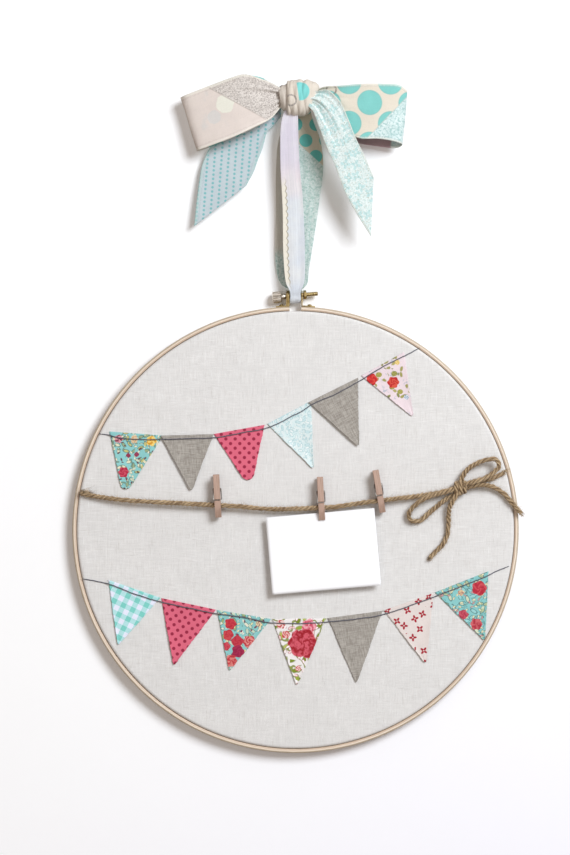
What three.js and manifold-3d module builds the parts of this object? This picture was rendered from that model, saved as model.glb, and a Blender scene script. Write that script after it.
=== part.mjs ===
// A wall memo board made from a wooden embroidery hoop, in millimetres, +Z up.
// The origin is where the knot of the ribbon sits on its wall nail. The wall is the
// plane y = 0 and the board faces -Y, so X runs to the right as one looks at it.
import * as THREE from 'three';
import Module from 'manifold-3d';
import { mergeVertices } from 'three/addons/utils/BufferGeometryUtils.js';

const wasm = await Module();
wasm.setup();

// Shared fits
const fitGap = 0.3; // clear space between two pieces that touch
const overrun = 1; // how far a cutter runs past what it cuts

// Hoop
const hoopDrop = 301; // hoop centre below the nail
const innerRadius = 152.4; // outside of the inner ring, a 12 inch hoop
const innerWall = 3.3;
const outerWall = 3;
const ringDepth = 10;
const ringCorner = 1.2; // rounding of the rings' front edges
const ringBackCorner = 0.5;
const linenThickness = 0.6;
const linenEnd = 1; // the linen stops this far in front of the wall
const splitWidth = 8.4; // open gap in the outer ring at the top
const hoopSides = 56;

// Clamp on the outer ring
const boltRadius = 1.5;
const boltRise = 7.9; // bolt axis above the outer ring
const boltTilt = THREE.MathUtils.degToRad(5); // right end up
const boltReach = 15.8; // bolt end right of the centre
const knobRadius = 4;
const knobLength = 6.6;
const knobTeeth = 18;
const knurlDepth = 0.35;
const neckRadius = 2.1;
const neckLength = 2.6;
const nutAcross = 5.5; // across two flats
const nutLength = 2.2;
const nutSeat = 0.25; // more room at the nut, for the tilt of the bolt
const lugDepth = 7;
const earThickness = 0.8;
const foldedEar = 2.4; // the left ear is folded over
const footThickness = 0.8;
const footLength = 9.5;
const rivetHead = 1.7;
const rivetDome = 0.9;
const rivetDomeShares = [[1, 0], [0.8, 0.7], [0.4, 1], [0, 1]]; // of the head's radius and dome
const rivetShank = 0.8;
const rivetBite = 2; // how deep the shank goes into the wood
const rivetPlaceShare = 0.6; // along the foot
const rivetSides = 12;
const boltSides = 16;

// Bunting
const threadDiameter = 0.8;
const flagThickness = 0.4;
const flagHeader = 2.6; // cloth above the stitching
const threadSteps = 24;

// Twine
const twineDiameter = 3.5;
const knotWide = 12.6;
const knotHigh = 11.2;
const knotDeep = 9.2;

// Clothespins
const pinWidth = 4.2;
const leverThickness = 3.2;
const jawLength = 8.5; // from the twine notch to the jaw end
const coilRise = 10.5; // from the twine notch to the coil axis
const handleRise = 21.5; // from the twine notch to the handle end
const jawTip = 1.4; // thickness of a jaw at its end
const jawTaper = 6; // length of the slope behind the jaw end
const handleTip = 1.2; // thickness of a handle at its end
const wireDiameter = 0.7;
const coilRadius = 1.2; // to the middle of the wire
const coilTurns = 4;
const wireCrossing = 3.8; // the wire crosses the lever this far above the twine
const wireProud = 0.2; // middle of the wire beyond the lever's face
const wireSides = 5;
const wireSteps = 8; // in each turn of the coil
const gapSamples = 600; // places along the wire where the gap to itself is measured
const gapSkip = 3; // wire diameters along the wire that are not measured to each other

// Note card
const cardWidth = 76.2;
const cardHeight = 54;
const cardThickness = 0.3;
const cardBite = 5; // how far the card goes into the jaws
const cardTilt = THREE.MathUtils.degToRad(5);
const cardShiftShare = -0.017; // card centre from the jaws, of its width

// Ribbon
const ribbonWidth = 38;
const clothThickness = 0.8;
const gatherDepth = 1.5; // folds beside the knot
const wallGather = 0.6; // folds of the tail that lies close to the wall
const strapFold = 0.9; // folds along the strap
const hemShare = 0.316; // thickness left at the edges of cloth
const loopRows = 29; // along a loop
const tailRows = 17;
const clothCells = 10; // across a loop or a tail
const clothFolds = 2;
const strapRows = 40;
const strapCells = 8;
const strapFolds = 1.5;
const bowKnotCells = 20;

// Sizes that follow
const linenInside = innerRadius + fitGap;
const linenOutside = linenInside + linenThickness;
const outerInside = linenOutside + fitGap;
const outerRadius = outerInside + outerWall;
const linenFront = ringDepth + fitGap + linenThickness;
const flagStep = flagThickness + fitGap;
const flagFront = linenFront + 2 * flagStep;
const jawGap = cardThickness + 2 * fitGap;
const pinBack = flagFront + fitGap;
const jawPlane = pinBack + leverThickness + jawGap / 2;
const twineOnLinen = linenFront + fitGap + twineDiameter / 2;
const boltHeight = outerRadius + boltRise;
const facetAngle = Math.PI / hoopSides;
const strapDrop = hoopDrop - boltHeight; // from the nail to the bolt
const strapRoom = boltRise - boltRadius - 2 * fitGap; // for the strap under the bolt

// Routes and outlines, seen from the front. On the hoop they are shares of the inner
// ring's radius from its centre, right and up.
const topThreadShares = [
  [-0.888, 0.44], [-0.86, 0.436], [-0.8, 0.422], [-0.716, 0.416], [-0.59, 0.417], [-0.449, 0.421],
  [-0.372, 0.424], [-0.308, 0.434], [-0.238, 0.448], [-0.14, 0.466], [-0.076, 0.491], [-0.025, 0.519],
  [0.02, 0.54], [0.08, 0.579], [0.186, 0.625], [0.305, 0.691], [0.396, 0.747], [0.495, 0.797],
  [0.556, 0.828],
];
const bottomThreadShares = [
  [-0.965, -0.227], [-0.862, -0.247], [-0.738, -0.294], [-0.627, -0.328], [-0.496, -0.357],
  [-0.371, -0.383], [-0.239, -0.401], [-0.115, -0.426], [-0.025, -0.429], [0.016, -0.43],
  [0.14, -0.423], [0.27, -0.41], [0.396, -0.39], [0.561, -0.335], [0.707, -0.28], [0.883, -0.21],
  [0.934, -0.185], [0.966, -0.172],
];
// Each pennant: its two ends along the thread as shares of it, its point as shares of
// the radius, and 1 where it lies over its neighbour.
const topFlagShares = [
  { ends: [0.021, 0.182], point: [-0.782, 0.188], over: 0 },
  { ends: [0.175, 0.334], point: [-0.478, 0.185], over: 1 },
  { ends: [0.336, 0.49], point: [-0.214, 0.231], over: 0 },
  { ends: [0.501, 0.65], point: [0.08, 0.287], over: 0 },
  { ends: [0.64, 0.806], point: [0.288, 0.389], over: 1 },
  { ends: [0.817, 0.965], point: [0.537, 0.526], over: 0 },
];
const bottomFlagShares = [
  { ends: [0.05, 0.177], point: [-0.814, -0.525], over: 0 },
  { ends: [0.18, 0.309], point: [-0.558, -0.617], over: 0 },
  { ends: [0.311, 0.438], point: [-0.302, -0.643], over: 0 },
  { ends: [0.441, 0.567], point: [0.007, -0.708], over: 0 },
  { ends: [0.57, 0.698], point: [0.28, -0.698], over: 0 },
  { ends: [0.702, 0.824], point: [0.597, -0.606], over: 0 },
  { ends: [0.827, 0.96], point: [0.868, -0.503], over: 0 },
];
// The twine's points: right, up, and how far it has come from lying on the linen to
// running in the clothespins' jaws.
const twineLineShares = [
  [-0.972, 0.166, 0], [-0.935, 0.158, 0.1], [-0.9, 0.152, 0.3], [-0.84, 0.144, 0.6],
  [-0.76, 0.136, 0.92], [-0.7, 0.1325, 1], [-0.66, 0.1304, 1], [-0.5, 0.122, 1], [-0.3, 0.1116, 1],
  [-0.26, 0.1095, 1], [-0.15, 0.099, 1], [-0.04, 0.0968, 1], [0, 0.0985, 1], [0.08, 0.1018, 1],
  [0.14, 0.1043, 1], [0.18, 0.107, 1], [0.26, 0.119, 1], [0.34, 0.1303, 1], [0.38, 0.1351, 1],
  [0.46, 0.1446, 1], [0.51, 0.1505, 1], [0.56, 0.157, 0.55], [0.61, 0.163, 0.15], [0.66, 0.172, 0],
  [0.71, 0.184, 0.05], [0.76, 0.195, 0.1],
];
const twineEndShares = [
  [0.76, 0.208, 0], [0.79, 0.215, 0], [0.818, 0.2225, 0], [0.85, 0.2285, 0], [0.889, 0.2335, 0],
  [0.92, 0.245, 0], [0.948, 0.259, 0], [0.956, 0.266, 0],
];
const upperLoopShares = [
  [0.756, 0.2, 0.7], [0.764, 0.242, 0.9], [0.79, 0.28, 1.1], [0.832, 0.308, 1.3], [0.89, 0.326, 1.45],
  [0.92, 0.322, 1.5], [0.931, 0.294, 1.6], [0.91, 0.268, 1.75], [0.861, 0.237, 1.9],
  [0.82, 0.224, 1.9], [0.79, 0.216, 1.85], [0.765, 0.205, 1.5],
];
const lowerLoopShares = [
  [0.745, 0.2, 0.9], [0.713, 0.185, 1.35], [0.65, 0.167, 1.5], [0.595, 0.148, 1.7], [0.55, 0.118, 1.3],
  [0.52, 0.075, 0.6], [0.53, 0.045, 0.3], [0.572, 0.044, 0.15], [0.614, 0.08, 0.15], [0.658, 0.116, 0.15],
  [0.7, 0.148, 0.15], [0.745, 0.165, 0.15],
];
const rightTailShares = [
  [0.76, 0.188, 0.6], [0.79, 0.198, 0.85], [0.825, 0.206, 0.97], [0.86, 0.208, 0.95], [0.902, 0.2, 0.6],
  [0.952, 0.171, 0.3], [0.994, 0.125, 0.15], [1.036, 0.076, 0.1],
];
const hangingTailShares = [
  [0.75, 0.18, 1.25], [0.735, 0.158, 1.45], [0.72, 0.134, 1.4], [0.706, 0.105, 1], [0.702, 0.06, 0.5],
  [0.702, 0.027, 0.2], [0.696, -0.022, 0.05], [0.677, -0.065, 0], [0.643, -0.1, 0], [0.618, -0.128, 0],
];
const twineKnotShares = [0.7556, 0.1952];
// Clothespins: the place on the twine and the lean, top to the left, in degrees.
const pins = [
  { name: 'left', placeShares: [-0.356, 0.1145], lean: 3.3 },
  { name: 'middle', placeShares: [0.119, 0.1034], lean: 3.1 },
  { name: 'right', placeShares: [0.39, 0.1363], lean: 9.7 },
];
// The ribbon's two edges, point by point, in shares of its width: right, out from the
// wall, up.
const leftLoopTopShares = [
  [-0.2, 0.36, 0.16], [-0.34, 0.4, 0.24], [-0.56, 0.46, 0.34], [-0.94, 0.5, 0.445], [-1.18, 0.5, 0.385],
  [-1.63, 0.45, 0.224], [-2.03, 0.37, 0.08], [-2.115, 0.29, 0.05], [-2.04, 0.21, 0.085],
  [-1.58, 0.175, 0.29], [-1, 0.165, 0.48], [-0.63, 0.175, 0.434], [-0.34, 0.21, 0.25], [-0.2, 0.23, 0.16],
];
const leftLoopBottomShares = [
  [-0.2, 0.33, -0.06], [-0.3, 0.36, -0.17], [-0.45, 0.43, -0.355], [-0.79, 0.48, -0.54],
  [-1.12, 0.49, -0.695], [-1.47, 0.45, -0.825], [-1.765, 0.37, -0.925], [-1.81, 0.29, -0.94],
  [-1.75, 0.21, -0.915], [-1.4, 0.175, -0.775], [-1, 0.165, -0.615], [-0.58, 0.175, -0.4],
  [-0.32, 0.21, -0.17], [-0.2, 0.23, -0.08],
];
const rightLoopTopShares = [
  [0.25, 0.36, 0.14], [0.4, 0.38, 0.19], [0.56, 0.44, 0.23], [0.82, 0.49, 0.24], [1.17, 0.51, 0.268],
  [1.58, 0.48, 0.274], [1.92, 0.41, 0.255], [2.06, 0.3, 0.155], [1.95, 0.2, 0.22], [1.53, 0.16, 0.255],
  [1.05, 0.16, 0.25], [0.68, 0.175, 0.224], [0.4, 0.2, 0.18], [0.25, 0.22, 0.14],
];
const rightLoopBottomShares = [
  [0.25, 0.33, -0.13], [0.4, 0.35, -0.22], [0.59, 0.42, -0.34], [0.83, 0.49, -0.51], [1.14, 0.51, -0.72],
  [1.53, 0.48, -0.735], [1.84, 0.41, -0.78], [1.968, 0.3, -0.826], [1.87, 0.2, -0.87],
  [1.5, 0.16, -0.83], [1.1, 0.16, -0.75], [0.71, 0.175, -0.45], [0.4, 0.2, -0.2], [0.25, 0.22, -0.13],
];
const leftTailUpperShares = [
  [-0.27, 0.118, -0.03], [-0.38, 0.118, -0.1], [-0.66, 0.115, -0.21], [-1.1, 0.11, -0.45],
  [-1.5, 0.115, -0.74], [-1.71, 0.13, -1.12], [-1.8, 0.17, -1.63], [-1.876, 0.21, -2.32],
];
const leftTailLowerShares = [
  [-0.27, 0.118, -0.28], [-0.33, 0.118, -0.36], [-0.4, 0.13, -0.45], [-0.516, 0.145, -0.56],
  [-0.608, 0.155, -0.866], [-0.7, 0.17, -1.1], [-0.774, 0.185, -1.308], [-0.913, 0.21, -1.566],
];
const rightTailUpperShares = [
  [0.22, 0.46, 0.08], [0.4, 0.5, 0.14], [0.58, 0.57, 0.15], [0.8, 0.64, -0.055], [0.96, 0.66, -0.39],
  [1.1, 0.66, -0.74], [1.276, 0.635, -1.1], [1.43, 0.6, -1.463],
];
const rightTailLowerShares = [
  [0.22, 0.48, -0.12], [0.33, 0.52, -0.25], [0.43, 0.58, -0.526], [0.565, 0.62, -0.9], [0.71, 0.62, -1.216],
  [0.895, 0.61, -1.705], [1.108, 0.57, -2.1], [1.38, 0.53, -2.53],
];
// The strap: left edge, right edge and distance from the wall in shares of the ribbon's
// width, how far down to the bolt, and thickness of the folded cloth in the first shares.
const frontStrandShares = [
  [-0.2, 0.04, 0.36, 0.056, 0.05], [-0.262, 0.043, 0.35, 0.117, 0.058],
  [-0.279, 0.066, 0.335, 0.301, 0.053], [-0.237, 0.142, 0.31, 0.557, 0.053],
  [-0.221, 0.174, 0.29, 0.807, 0.058],
];
const backStrandShares = [
  [-0.355, 0.25, 0.058, 0.863, 0.032], [-0.363, 0.42, 0.068, 0.557, 0.03],
  [-0.358, 0.513, 0.084, 0.329, 0.03], [-0.315, 0.46, 0.1, 0.2, 0.032],
  [-0.2, 0.33, 0.121, 0.1, 0.04], [-0.15, 0.24, 0.19, 0.01, 0.045],
];
// It narrows between the lugs: left and right edge in shares of half the split, place in
// front of the bolt and above it in shares of the lugs' depth, thickness in shares of
// the room under the bolt.
const frontWaistShares = [[-1.538, 1.357, 0.806, 1.15, 0.459], [-0.9, 0.82, 0.69, 0.4, 0.56]];
const backWaistShares = [[-1.04, 1.04, -0.4, 0.636, 0.38], [-2.352, 1.9, -0.4, 1.15, 0.275]];
// Round the bolt: the turn in degrees from straight in front, slack and thickness in
// shares of that room, and between them half the width in shares of half the split.
const strapTurnShares = [
  [0, 0.0205, 0.82, 0.622], [45, 0.05, 0.86, 0.655], [90, 0.073, 0.86, 0.701],
  [135, 0.05, 0.878, 0.59], [180, 0.024, 0.905, 0.459],
];
// The knot's rings from left to right: place, half height and half depth in shares.
const bowKnotShares = [
  [-0.29, 0.19, 0.16], [-0.225, 0.245, 0.195], [-0.165, 0.255, 0.2], [-0.142, 0.31, 0.25],
  [-0.05, 0.326, 0.266], [0.05, 0.329, 0.27], [0.16, 0.326, 0.266], [0.26, 0.305, 0.245],
  [0.33, 0.265, 0.205], [0.366, 0.21, 0.16],
];
const bowKnotRiseShare = 0.037;
const bowKnotOutShare = 0.302;
const bowKnotSquareness = 2.4;

function finish(color, roughness, metalness = 0) {
  return new THREE.MeshStandardMaterial({ color, roughness, metalness });
}

const finishes = {
  wood: finish(0xd9c3a0, 0.55),
  linen: finish(0xe4e1dc, 0.9),
  brass: finish(0xb9a25c, 0.35, 1),
  nickel: finish(0xc9c3bb, 0.28, 1),
  steel: finish(0xb8b4ae, 0.35, 1),
  thread: finish(0x55555a, 0.85),
  twine: finish(0xa07c4e, 0.95),
  pinWood: finish(0xb49682, 0.6),
  card: finish(0xf8f8fa, 0.7),
  ribbon: finish(0xdfe6e4, 0.9),
  dots: finish(0xe3d9cd, 0.9),
};
const topFlagColours = [0x8fc9c6, 0xa59b8e, 0xe85f7d, 0xd6ebe8, 0xa59b8e, 0xf0d9da];
const bottomFlagColours = [0xbfe3dc, 0xe8708c, 0x7fb9b4, 0xf2ece8, 0xa59b8e, 0xf3eeea, 0x8fcfc8];

const board = new THREE.Group();
const hoop = new THREE.Group();
hoop.position.z = -hoopDrop;
board.add(hoop);

function addPiece(parent, name, geometry, material) {
  const piece = new THREE.Mesh(geometry, material);
  piece.name = name;
  parent.add(piece);
  return piece;
}

// A closed body with shared corners, no empty triangles and its faces outwards.
function closed(geometry) {
  const bare = geometry.clone();
  bare.deleteAttribute('normal');
  bare.deleteAttribute('uv');
  const merged = mergeVertices(bare);
  const at = merged.getAttribute('position');
  const corner = (i) => new THREE.Vector3().fromBufferAttribute(at, i);
  let kept = [];
  let volume = 0;
  for (let i = 0; i < merged.index.count; i += 3) {
    const [a, b, c] = [0, 1, 2].map((k) => merged.index.getX(i + k));
    if (a === b || b === c || c === a) continue;
    kept.push([a, b, c]);
    volume += corner(a).dot(corner(b).cross(corner(c)));
  }
  if (volume < 0) kept = kept.map(([a, b, c]) => [a, c, b]);
  const body = new THREE.BufferGeometry();
  body.setAttribute('position', at);
  body.setIndex(kept.flat());
  return body;
}

function solid(geometry) {
  const body = closed(geometry);
  return new wasm.Manifold(new wasm.Mesh({
    numProp: 3,
    vertProperties: new Float32Array(body.getAttribute('position').array),
    triVerts: new Uint32Array(body.index.array),
  }));
}

function geometryOf(manifold) {
  const mesh = manifold.getMesh();
  const body = new THREE.BufferGeometry();
  body.setAttribute('position', new THREE.BufferAttribute(new Float32Array(mesh.vertProperties), 3));
  body.setIndex(new THREE.BufferAttribute(new Uint32Array(mesh.triVerts), 1));
  return body;
}

function joined(...geometries) {
  return geometryOf(geometries.map(solid).reduce((sum, next) => sum.add(next)));
}

function cut(geometry, ...cutters) {
  return geometryOf(cutters.map(solid).reduce((rest, next) => rest.subtract(next), solid(geometry)));
}

// What is left of a soft piece beside the knot that it comes out of.
function besideKnot(geometry, knot) {
  const bodies = solid(geometry).subtract(solid(knot)).decompose();
  return geometryOf(bodies.reduce((most, next) => (next.volume() > most.volume() ? next : most)));
}

// A closed skin over rings of points, with a fan at each end.
function loft(rings) {
  const sides = rings[0].length;
  const middle = (ring) => ring.reduce((s, p) => s.add(p), new THREE.Vector3()).divideScalar(sides);
  const points = [...rings.flat(), middle(rings[0]), middle(rings.at(-1))];
  const first = rings.length * sides;
  const index = [];
  for (let j = 0; j < sides; j += 1) {
    const next = (j + 1) % sides;
    for (let i = 0; i < rings.length - 1; i += 1) {
      const [a, b, c, d] = [i * sides + j, i * sides + next, (i + 1) * sides + j, (i + 1) * sides + next];
      index.push(a, b, c, b, d, c);
    }
    const last = (rings.length - 1) * sides;
    index.push(first, next, j, first + 1, last + j, last + next);
  }
  const body = new THREE.BufferGeometry();
  body.setAttribute('position', new THREE.Float32BufferAttribute(points.flatMap((p) => p.toArray()), 3));
  body.setIndex(index);
  return closed(body);
}

// A round section swept along a smooth curve through the points.
function cord(points, diameter, steps, sides = 8) {
  const section = new THREE.Shape(
    Array.from({ length: sides }, (_, i) => {
      const turn = (i * 2 * Math.PI) / sides;
      return new THREE.Vector2(Math.cos(turn), Math.sin(turn)).multiplyScalar(diameter / 2);
    }),
  );
  const path = new THREE.CatmullRomCurve3(points, false, 'centripetal');
  return closed(new THREE.ExtrudeGeometry(section, { steps, bevelEnabled: false, extrudePath: path }));
}

// Seen from the front: shares of the hoop's radius, and the distance from the wall.
function onHoop([right, up], out) {
  return new THREE.Vector3(right * innerRadius, -out, up * innerRadius);
}

// A flat piece drawn in the wall's plane, from its back at one distance from the wall
// to its front.
function plate(corners, back, thickness) {
  const shape = new THREE.Shape(corners.map((p) => new THREE.Vector2(p.x, p.z)));
  const flat = new THREE.ExtrudeGeometry(shape, { depth: thickness, bevelEnabled: false });
  return closed(flat.rotateX(Math.PI / 2).translate(0, -back, 0));
}

function bar(x0, x1, y0, y1, z0, z1) {
  return new THREE.BoxGeometry(x1 - x0, y1 - y0, z1 - z0)
    .translate((x0 + x1) / 2, (y0 + y1) / 2, (z0 + z1) / 2);
}

// Cylinder along X between two places.
function rod(radius, x0, x1, sides) {
  return new THREE.CylinderGeometry(radius, radius, x1 - x0, sides)
    .rotateZ(Math.PI / 2)
    .translate((x0 + x1) / 2, 0, 0);
}

// Round corners of a profile in radius and height, as points for a lathe.
function corner(profile, middleR, middleY, radius, from, steps) {
  for (let i = 0; i <= steps; i += 1) {
    const turn = from + (i / steps) * (Math.PI / 2);
    profile.push(new THREE.Vector2(middleR + radius * Math.cos(turn), middleY + radius * Math.sin(turn)));
  }
}

function ring(inside, outside) {
  const profile = [];
  const low = -ringDepth + ringCorner;
  corner(profile, outside - ringCorner, low, ringCorner, -Math.PI / 2, 2);
  corner(profile, outside - ringBackCorner, -ringBackCorner, ringBackCorner, 0, 1);
  corner(profile, inside + ringBackCorner, -ringBackCorner, ringBackCorner, Math.PI / 2, 1);
  corner(profile, inside + ringCorner, low, ringCorner, Math.PI, 2);
  profile.push(profile[0].clone());
  return closed(new THREE.LatheGeometry(profile, hoopSides));
}

// The linen is one skin: the face, round the inner ring's edge, and down between the rings.
function linen() {
  const profile = [new THREE.Vector2(0, -linenFront)];
  const bend = ringCorner + fitGap;
  const turn = innerRadius - ringCorner;
  const low = -ringDepth + ringCorner;
  corner(profile, turn, low, bend + linenThickness, -Math.PI / 2, 2);
  profile.push(new THREE.Vector2(linenOutside, -linenEnd), new THREE.Vector2(linenInside, -linenEnd));
  const inner = [];
  corner(inner, turn, low, bend, -Math.PI / 2, 2);
  profile.push(...inner.reverse(), new THREE.Vector2(0, linenThickness - linenFront));
  return closed(new THREE.LatheGeometry(profile, hoopSides));
}

// The clamp's own frame: the bolt runs along its X axis.
const clampPlace = new THREE.Matrix4()
  .makeTranslation(0, -ringDepth / 2, boltHeight)
  .multiply(new THREE.Matrix4().makeRotationY(-boltTilt));

// The frame of the ring's facet beside the split, with Z straight out of the facet.
function facetPlace(side) {
  return new THREE.Matrix4().makeRotationY(side * facetAngle);
}

const facetTop = outerRadius * Math.cos(facetAngle) + fitGap;
const earFace = splitWidth / 2;
const footStart = earFace - outerRadius * Math.sin(facetAngle);
const rivetPlace = footStart + footLength * rivetPlaceShare;

function rivetHole(side) {
  const length = rivetBite + fitGap + footThickness + overrun;
  return new THREE.CylinderGeometry(rivetShank + fitGap, rivetShank + fitGap, length + fitGap, rivetSides)
    .rotateX(Math.PI / 2)
    .translate(side * rivetPlace, -ringDepth / 2, facetTop - rivetBite - fitGap * 2 + length / 2)
    .applyMatrix4(facetPlace(side));
}

function lug(side, thickness) {
  const ear = new THREE.Shape();
  ear.moveTo(-lugDepth / 2, facetTop);
  ear.lineTo(lugDepth / 2, facetTop);
  ear.lineTo(lugDepth / 2, boltHeight);
  ear.absarc(0, boltHeight, lugDepth / 2, 0, Math.PI);
  const face = new THREE.ExtrudeGeometry(ear, { depth: thickness, bevelEnabled: false, curveSegments: 10 })
    .applyMatrix4(new THREE.Matrix4().set(0, 0, 1, 0, 1, 0, 0, 0, 0, 1, 0, 0, 0, 0, 0, 1))
    .translate(side > 0 ? earFace : -earFace - thickness, -ringDepth / 2, 0);
  const [near, far] = [footStart, footStart + footLength].map((x) => side * x).sort((a, b) => a - b);
  const back = -ringDepth / 2 - lugDepth / 2;
  const foot = bar(near, far, back, back + lugDepth, facetTop, facetTop + footThickness)
    .applyMatrix4(facetPlace(side));
  const hole = rod(boltRadius + fitGap, -boltReach, boltReach, boltSides).applyMatrix4(clampPlace);
  return cut(joined(face, foot), hole, rivetHole(side));
}

function rivet(side) {
  const top = facetTop + footThickness + fitGap;
  const bottom = facetTop - fitGap - rivetBite;
  const profile = [
    [0, bottom], [rivetShank, bottom], [rivetShank, top],
    ...rivetDomeShares.map(([out, up]) => [rivetHead * out, top + rivetDome * up]),
  ].map(([r, y]) => new THREE.Vector2(r, y));
  return closed(new THREE.LatheGeometry(profile, rivetSides)
    .rotateX(Math.PI / 2)
    .translate(side * rivetPlace, -ringDepth / 2, 0)
    .applyMatrix4(facetPlace(side)));
}

const neckEnd = -(earFace + foldedEar + fitGap + nutSeat);

function screw() {
  const knurl = new THREE.Shape(
    Array.from({ length: 2 * knobTeeth }, (_, i) => {
      const turn = (i * Math.PI) / knobTeeth;
      const reach = knobRadius - (i % 2) * knurlDepth;
      return new THREE.Vector2(Math.cos(turn) * reach, Math.sin(turn) * reach);
    }),
  );
  const options = {
    depth: knobLength - 2 * knurlDepth,
    bevelSize: knurlDepth,
    bevelThickness: knurlDepth,
    bevelOffset: -knurlDepth,
    bevelSegments: 1,
  };
  const knob = new THREE.ExtrudeGeometry(knurl, options)
    .rotateY(Math.PI / 2)
    .translate(neckEnd - neckLength - knobLength + knurlDepth, 0, 0);
  const neck = rod(neckRadius, neckEnd - neckLength - knurlDepth, neckEnd, boltSides);
  const shank = rod(boltRadius, neckEnd - knurlDepth, boltReach, boltSides);
  return joined(knob, neck, shank);
}

function nut() {
  const start = earFace + earThickness + fitGap + nutSeat;
  const across = nutAcross / 2 / Math.cos(Math.PI / 6);
  return cut(
    rod(across, start, start + nutLength, 6),
    rod(boltRadius + fitGap, start - overrun, start + nutLength + overrun, boltSides),
  );
}

function makeHoop() {
  const split = bar(-earFace, earFace, -ringDepth - overrun, overrun, innerRadius, outerRadius + overrun);
  addPiece(hoop, 'inner_hoop', ring(innerRadius - innerWall, innerRadius), finishes.wood);
  const outer = cut(ring(outerInside, outerRadius), split, rivetHole(-1), rivetHole(1));
  addPiece(hoop, 'outer_hoop', outer, finishes.wood);
  addPiece(hoop, 'linen_panel', linen(), finishes.linen);
  addPiece(hoop, 'left_lug', lug(-1, foldedEar), finishes.brass);
  addPiece(hoop, 'right_lug', lug(1, earThickness), finishes.brass);
  addPiece(hoop, 'left_rivet', rivet(-1), finishes.brass);
  addPiece(hoop, 'right_rivet', rivet(1), finishes.brass);
  addPiece(hoop, 'clamp_screw', screw(), finishes.nickel).applyMatrix4(clampPlace);
  addPiece(hoop, 'clamp_nut', nut(), finishes.brass).applyMatrix4(clampPlace);
}

// A pennant hangs from the thread: its header stands above the stitches.
function flag(route, { ends, point, over }) {
  const back = linenFront + fitGap + over * flagStep;
  const [left, right] = ends.map((share) => route.getPointAt(share));
  const up = new THREE.Vector3(left.z - right.z, 0, right.x - left.x).setLength(flagHeader);
  return plate([left.add(up), onHoop(point, 0), right.add(up)], back, flagThickness);
}

function bunting(row, routeShares, flagShares, colours) {
  const layers = 1 + Math.max(...flagShares.map(({ over }) => over));
  const run = linenFront + layers * flagStep + fitGap + threadDiameter / 2;
  const points = routeShares.map((place) => onHoop(place, run));
  const route = new THREE.CatmullRomCurve3(points, false, 'centripetal');
  addPiece(hoop, `${row}_thread`, cord(points, threadDiameter, threadSteps), finishes.thread);
  flagShares.forEach((shares, i) => {
    addPiece(hoop, `${row}_pennant_${i + 1}`, flag(route, shares), finish(colours[i], 0.9));
  });
}

function twinePoints(shares) {
  const riseToJaws = jawPlane - twineOnLinen;
  return shares.map(([right, up, rise]) => onHoop([right, up], twineOnLinen + rise * riseToJaws));
}

function knotBody(room) {
  const knotOut = linenFront + fitGap + knotDeep / 2;
  const place = onHoop(twineKnotShares, knotOut);
  return new THREE.SphereGeometry(1, 14, 8)
    .scale(knotWide / 2 + room, knotDeep / 2 + room, knotHigh / 2 + room)
    .translate(place.x, place.y, place.z);
}

function makeTwine() {
  const around = knotBody(fitGap);
  addPiece(hoop, 'twine_knot', closed(knotBody(0)), finishes.twine);
  const stretches = [
    { name: 'twine_line', shares: twineLineShares, steps: 52 },
    { name: 'twine_line_end', shares: twineEndShares, steps: 10 },
    { name: 'twine_upper_loop', shares: upperLoopShares, steps: 18 },
    { name: 'twine_lower_loop', shares: lowerLoopShares, steps: 20 },
    { name: 'twine_right_tail', shares: rightTailShares, steps: 12 },
    { name: 'twine_hanging_tail', shares: hangingTailShares, steps: 14 },
  ];
  for (const { name, shares, steps } of stretches) {
    const piece = besideKnot(cord(twinePoints(shares), twineDiameter, steps), around);
    addPiece(hoop, name, piece, finishes.twine);
  }
}

// One lever in its own side view: out from the middle of the jaws, and up from the twine.
function leverOutline() {
  const inner = jawGap / 2;
  const outer = inner + leverThickness;
  const notch = twineDiameter / 2 + fitGap;
  const groove = coilRadius + wireDiameter / 2 + fitGap;
  const wireRoom = wireDiameter / 2 + fitGap;
  const notchTurn = Math.acos(inner / notch);
  const grooveTurn = Math.acos(inner / groove);
  const wireTurn = Math.acos(wireProud / wireRoom);
  const shape = new THREE.Shape();
  shape.moveTo(inner, -jawLength);
  shape.lineTo(inner + jawTip, -jawLength);
  shape.lineTo(outer, jawTaper - jawLength);
  shape.absarc(outer + wireProud, wireCrossing, wireRoom, Math.PI + wireTurn, Math.PI - wireTurn, true);
  shape.lineTo(outer, handleRise);
  shape.lineTo(outer - handleTip, handleRise);
  shape.absarc(0, coilRise, groove, grooveTurn, -grooveTurn, true);
  shape.absarc(0, 0, notch, notchTurn, -notchTurn, true);
  return shape;
}

function lever(side) {
  const place = new THREE.Matrix4().makeBasis(
    new THREE.Vector3(0, side, 0),
    new THREE.Vector3(0, 0, 1),
    new THREE.Vector3(side, 0, 0),
  );
  const options = { depth: pinWidth, bevelEnabled: false, curveSegments: 6 };
  return closed(new THREE.ExtrudeGeometry(leverOutline(), options)
    .translate(0, 0, -pinWidth / 2)
    .applyMatrix4(place));
}

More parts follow.
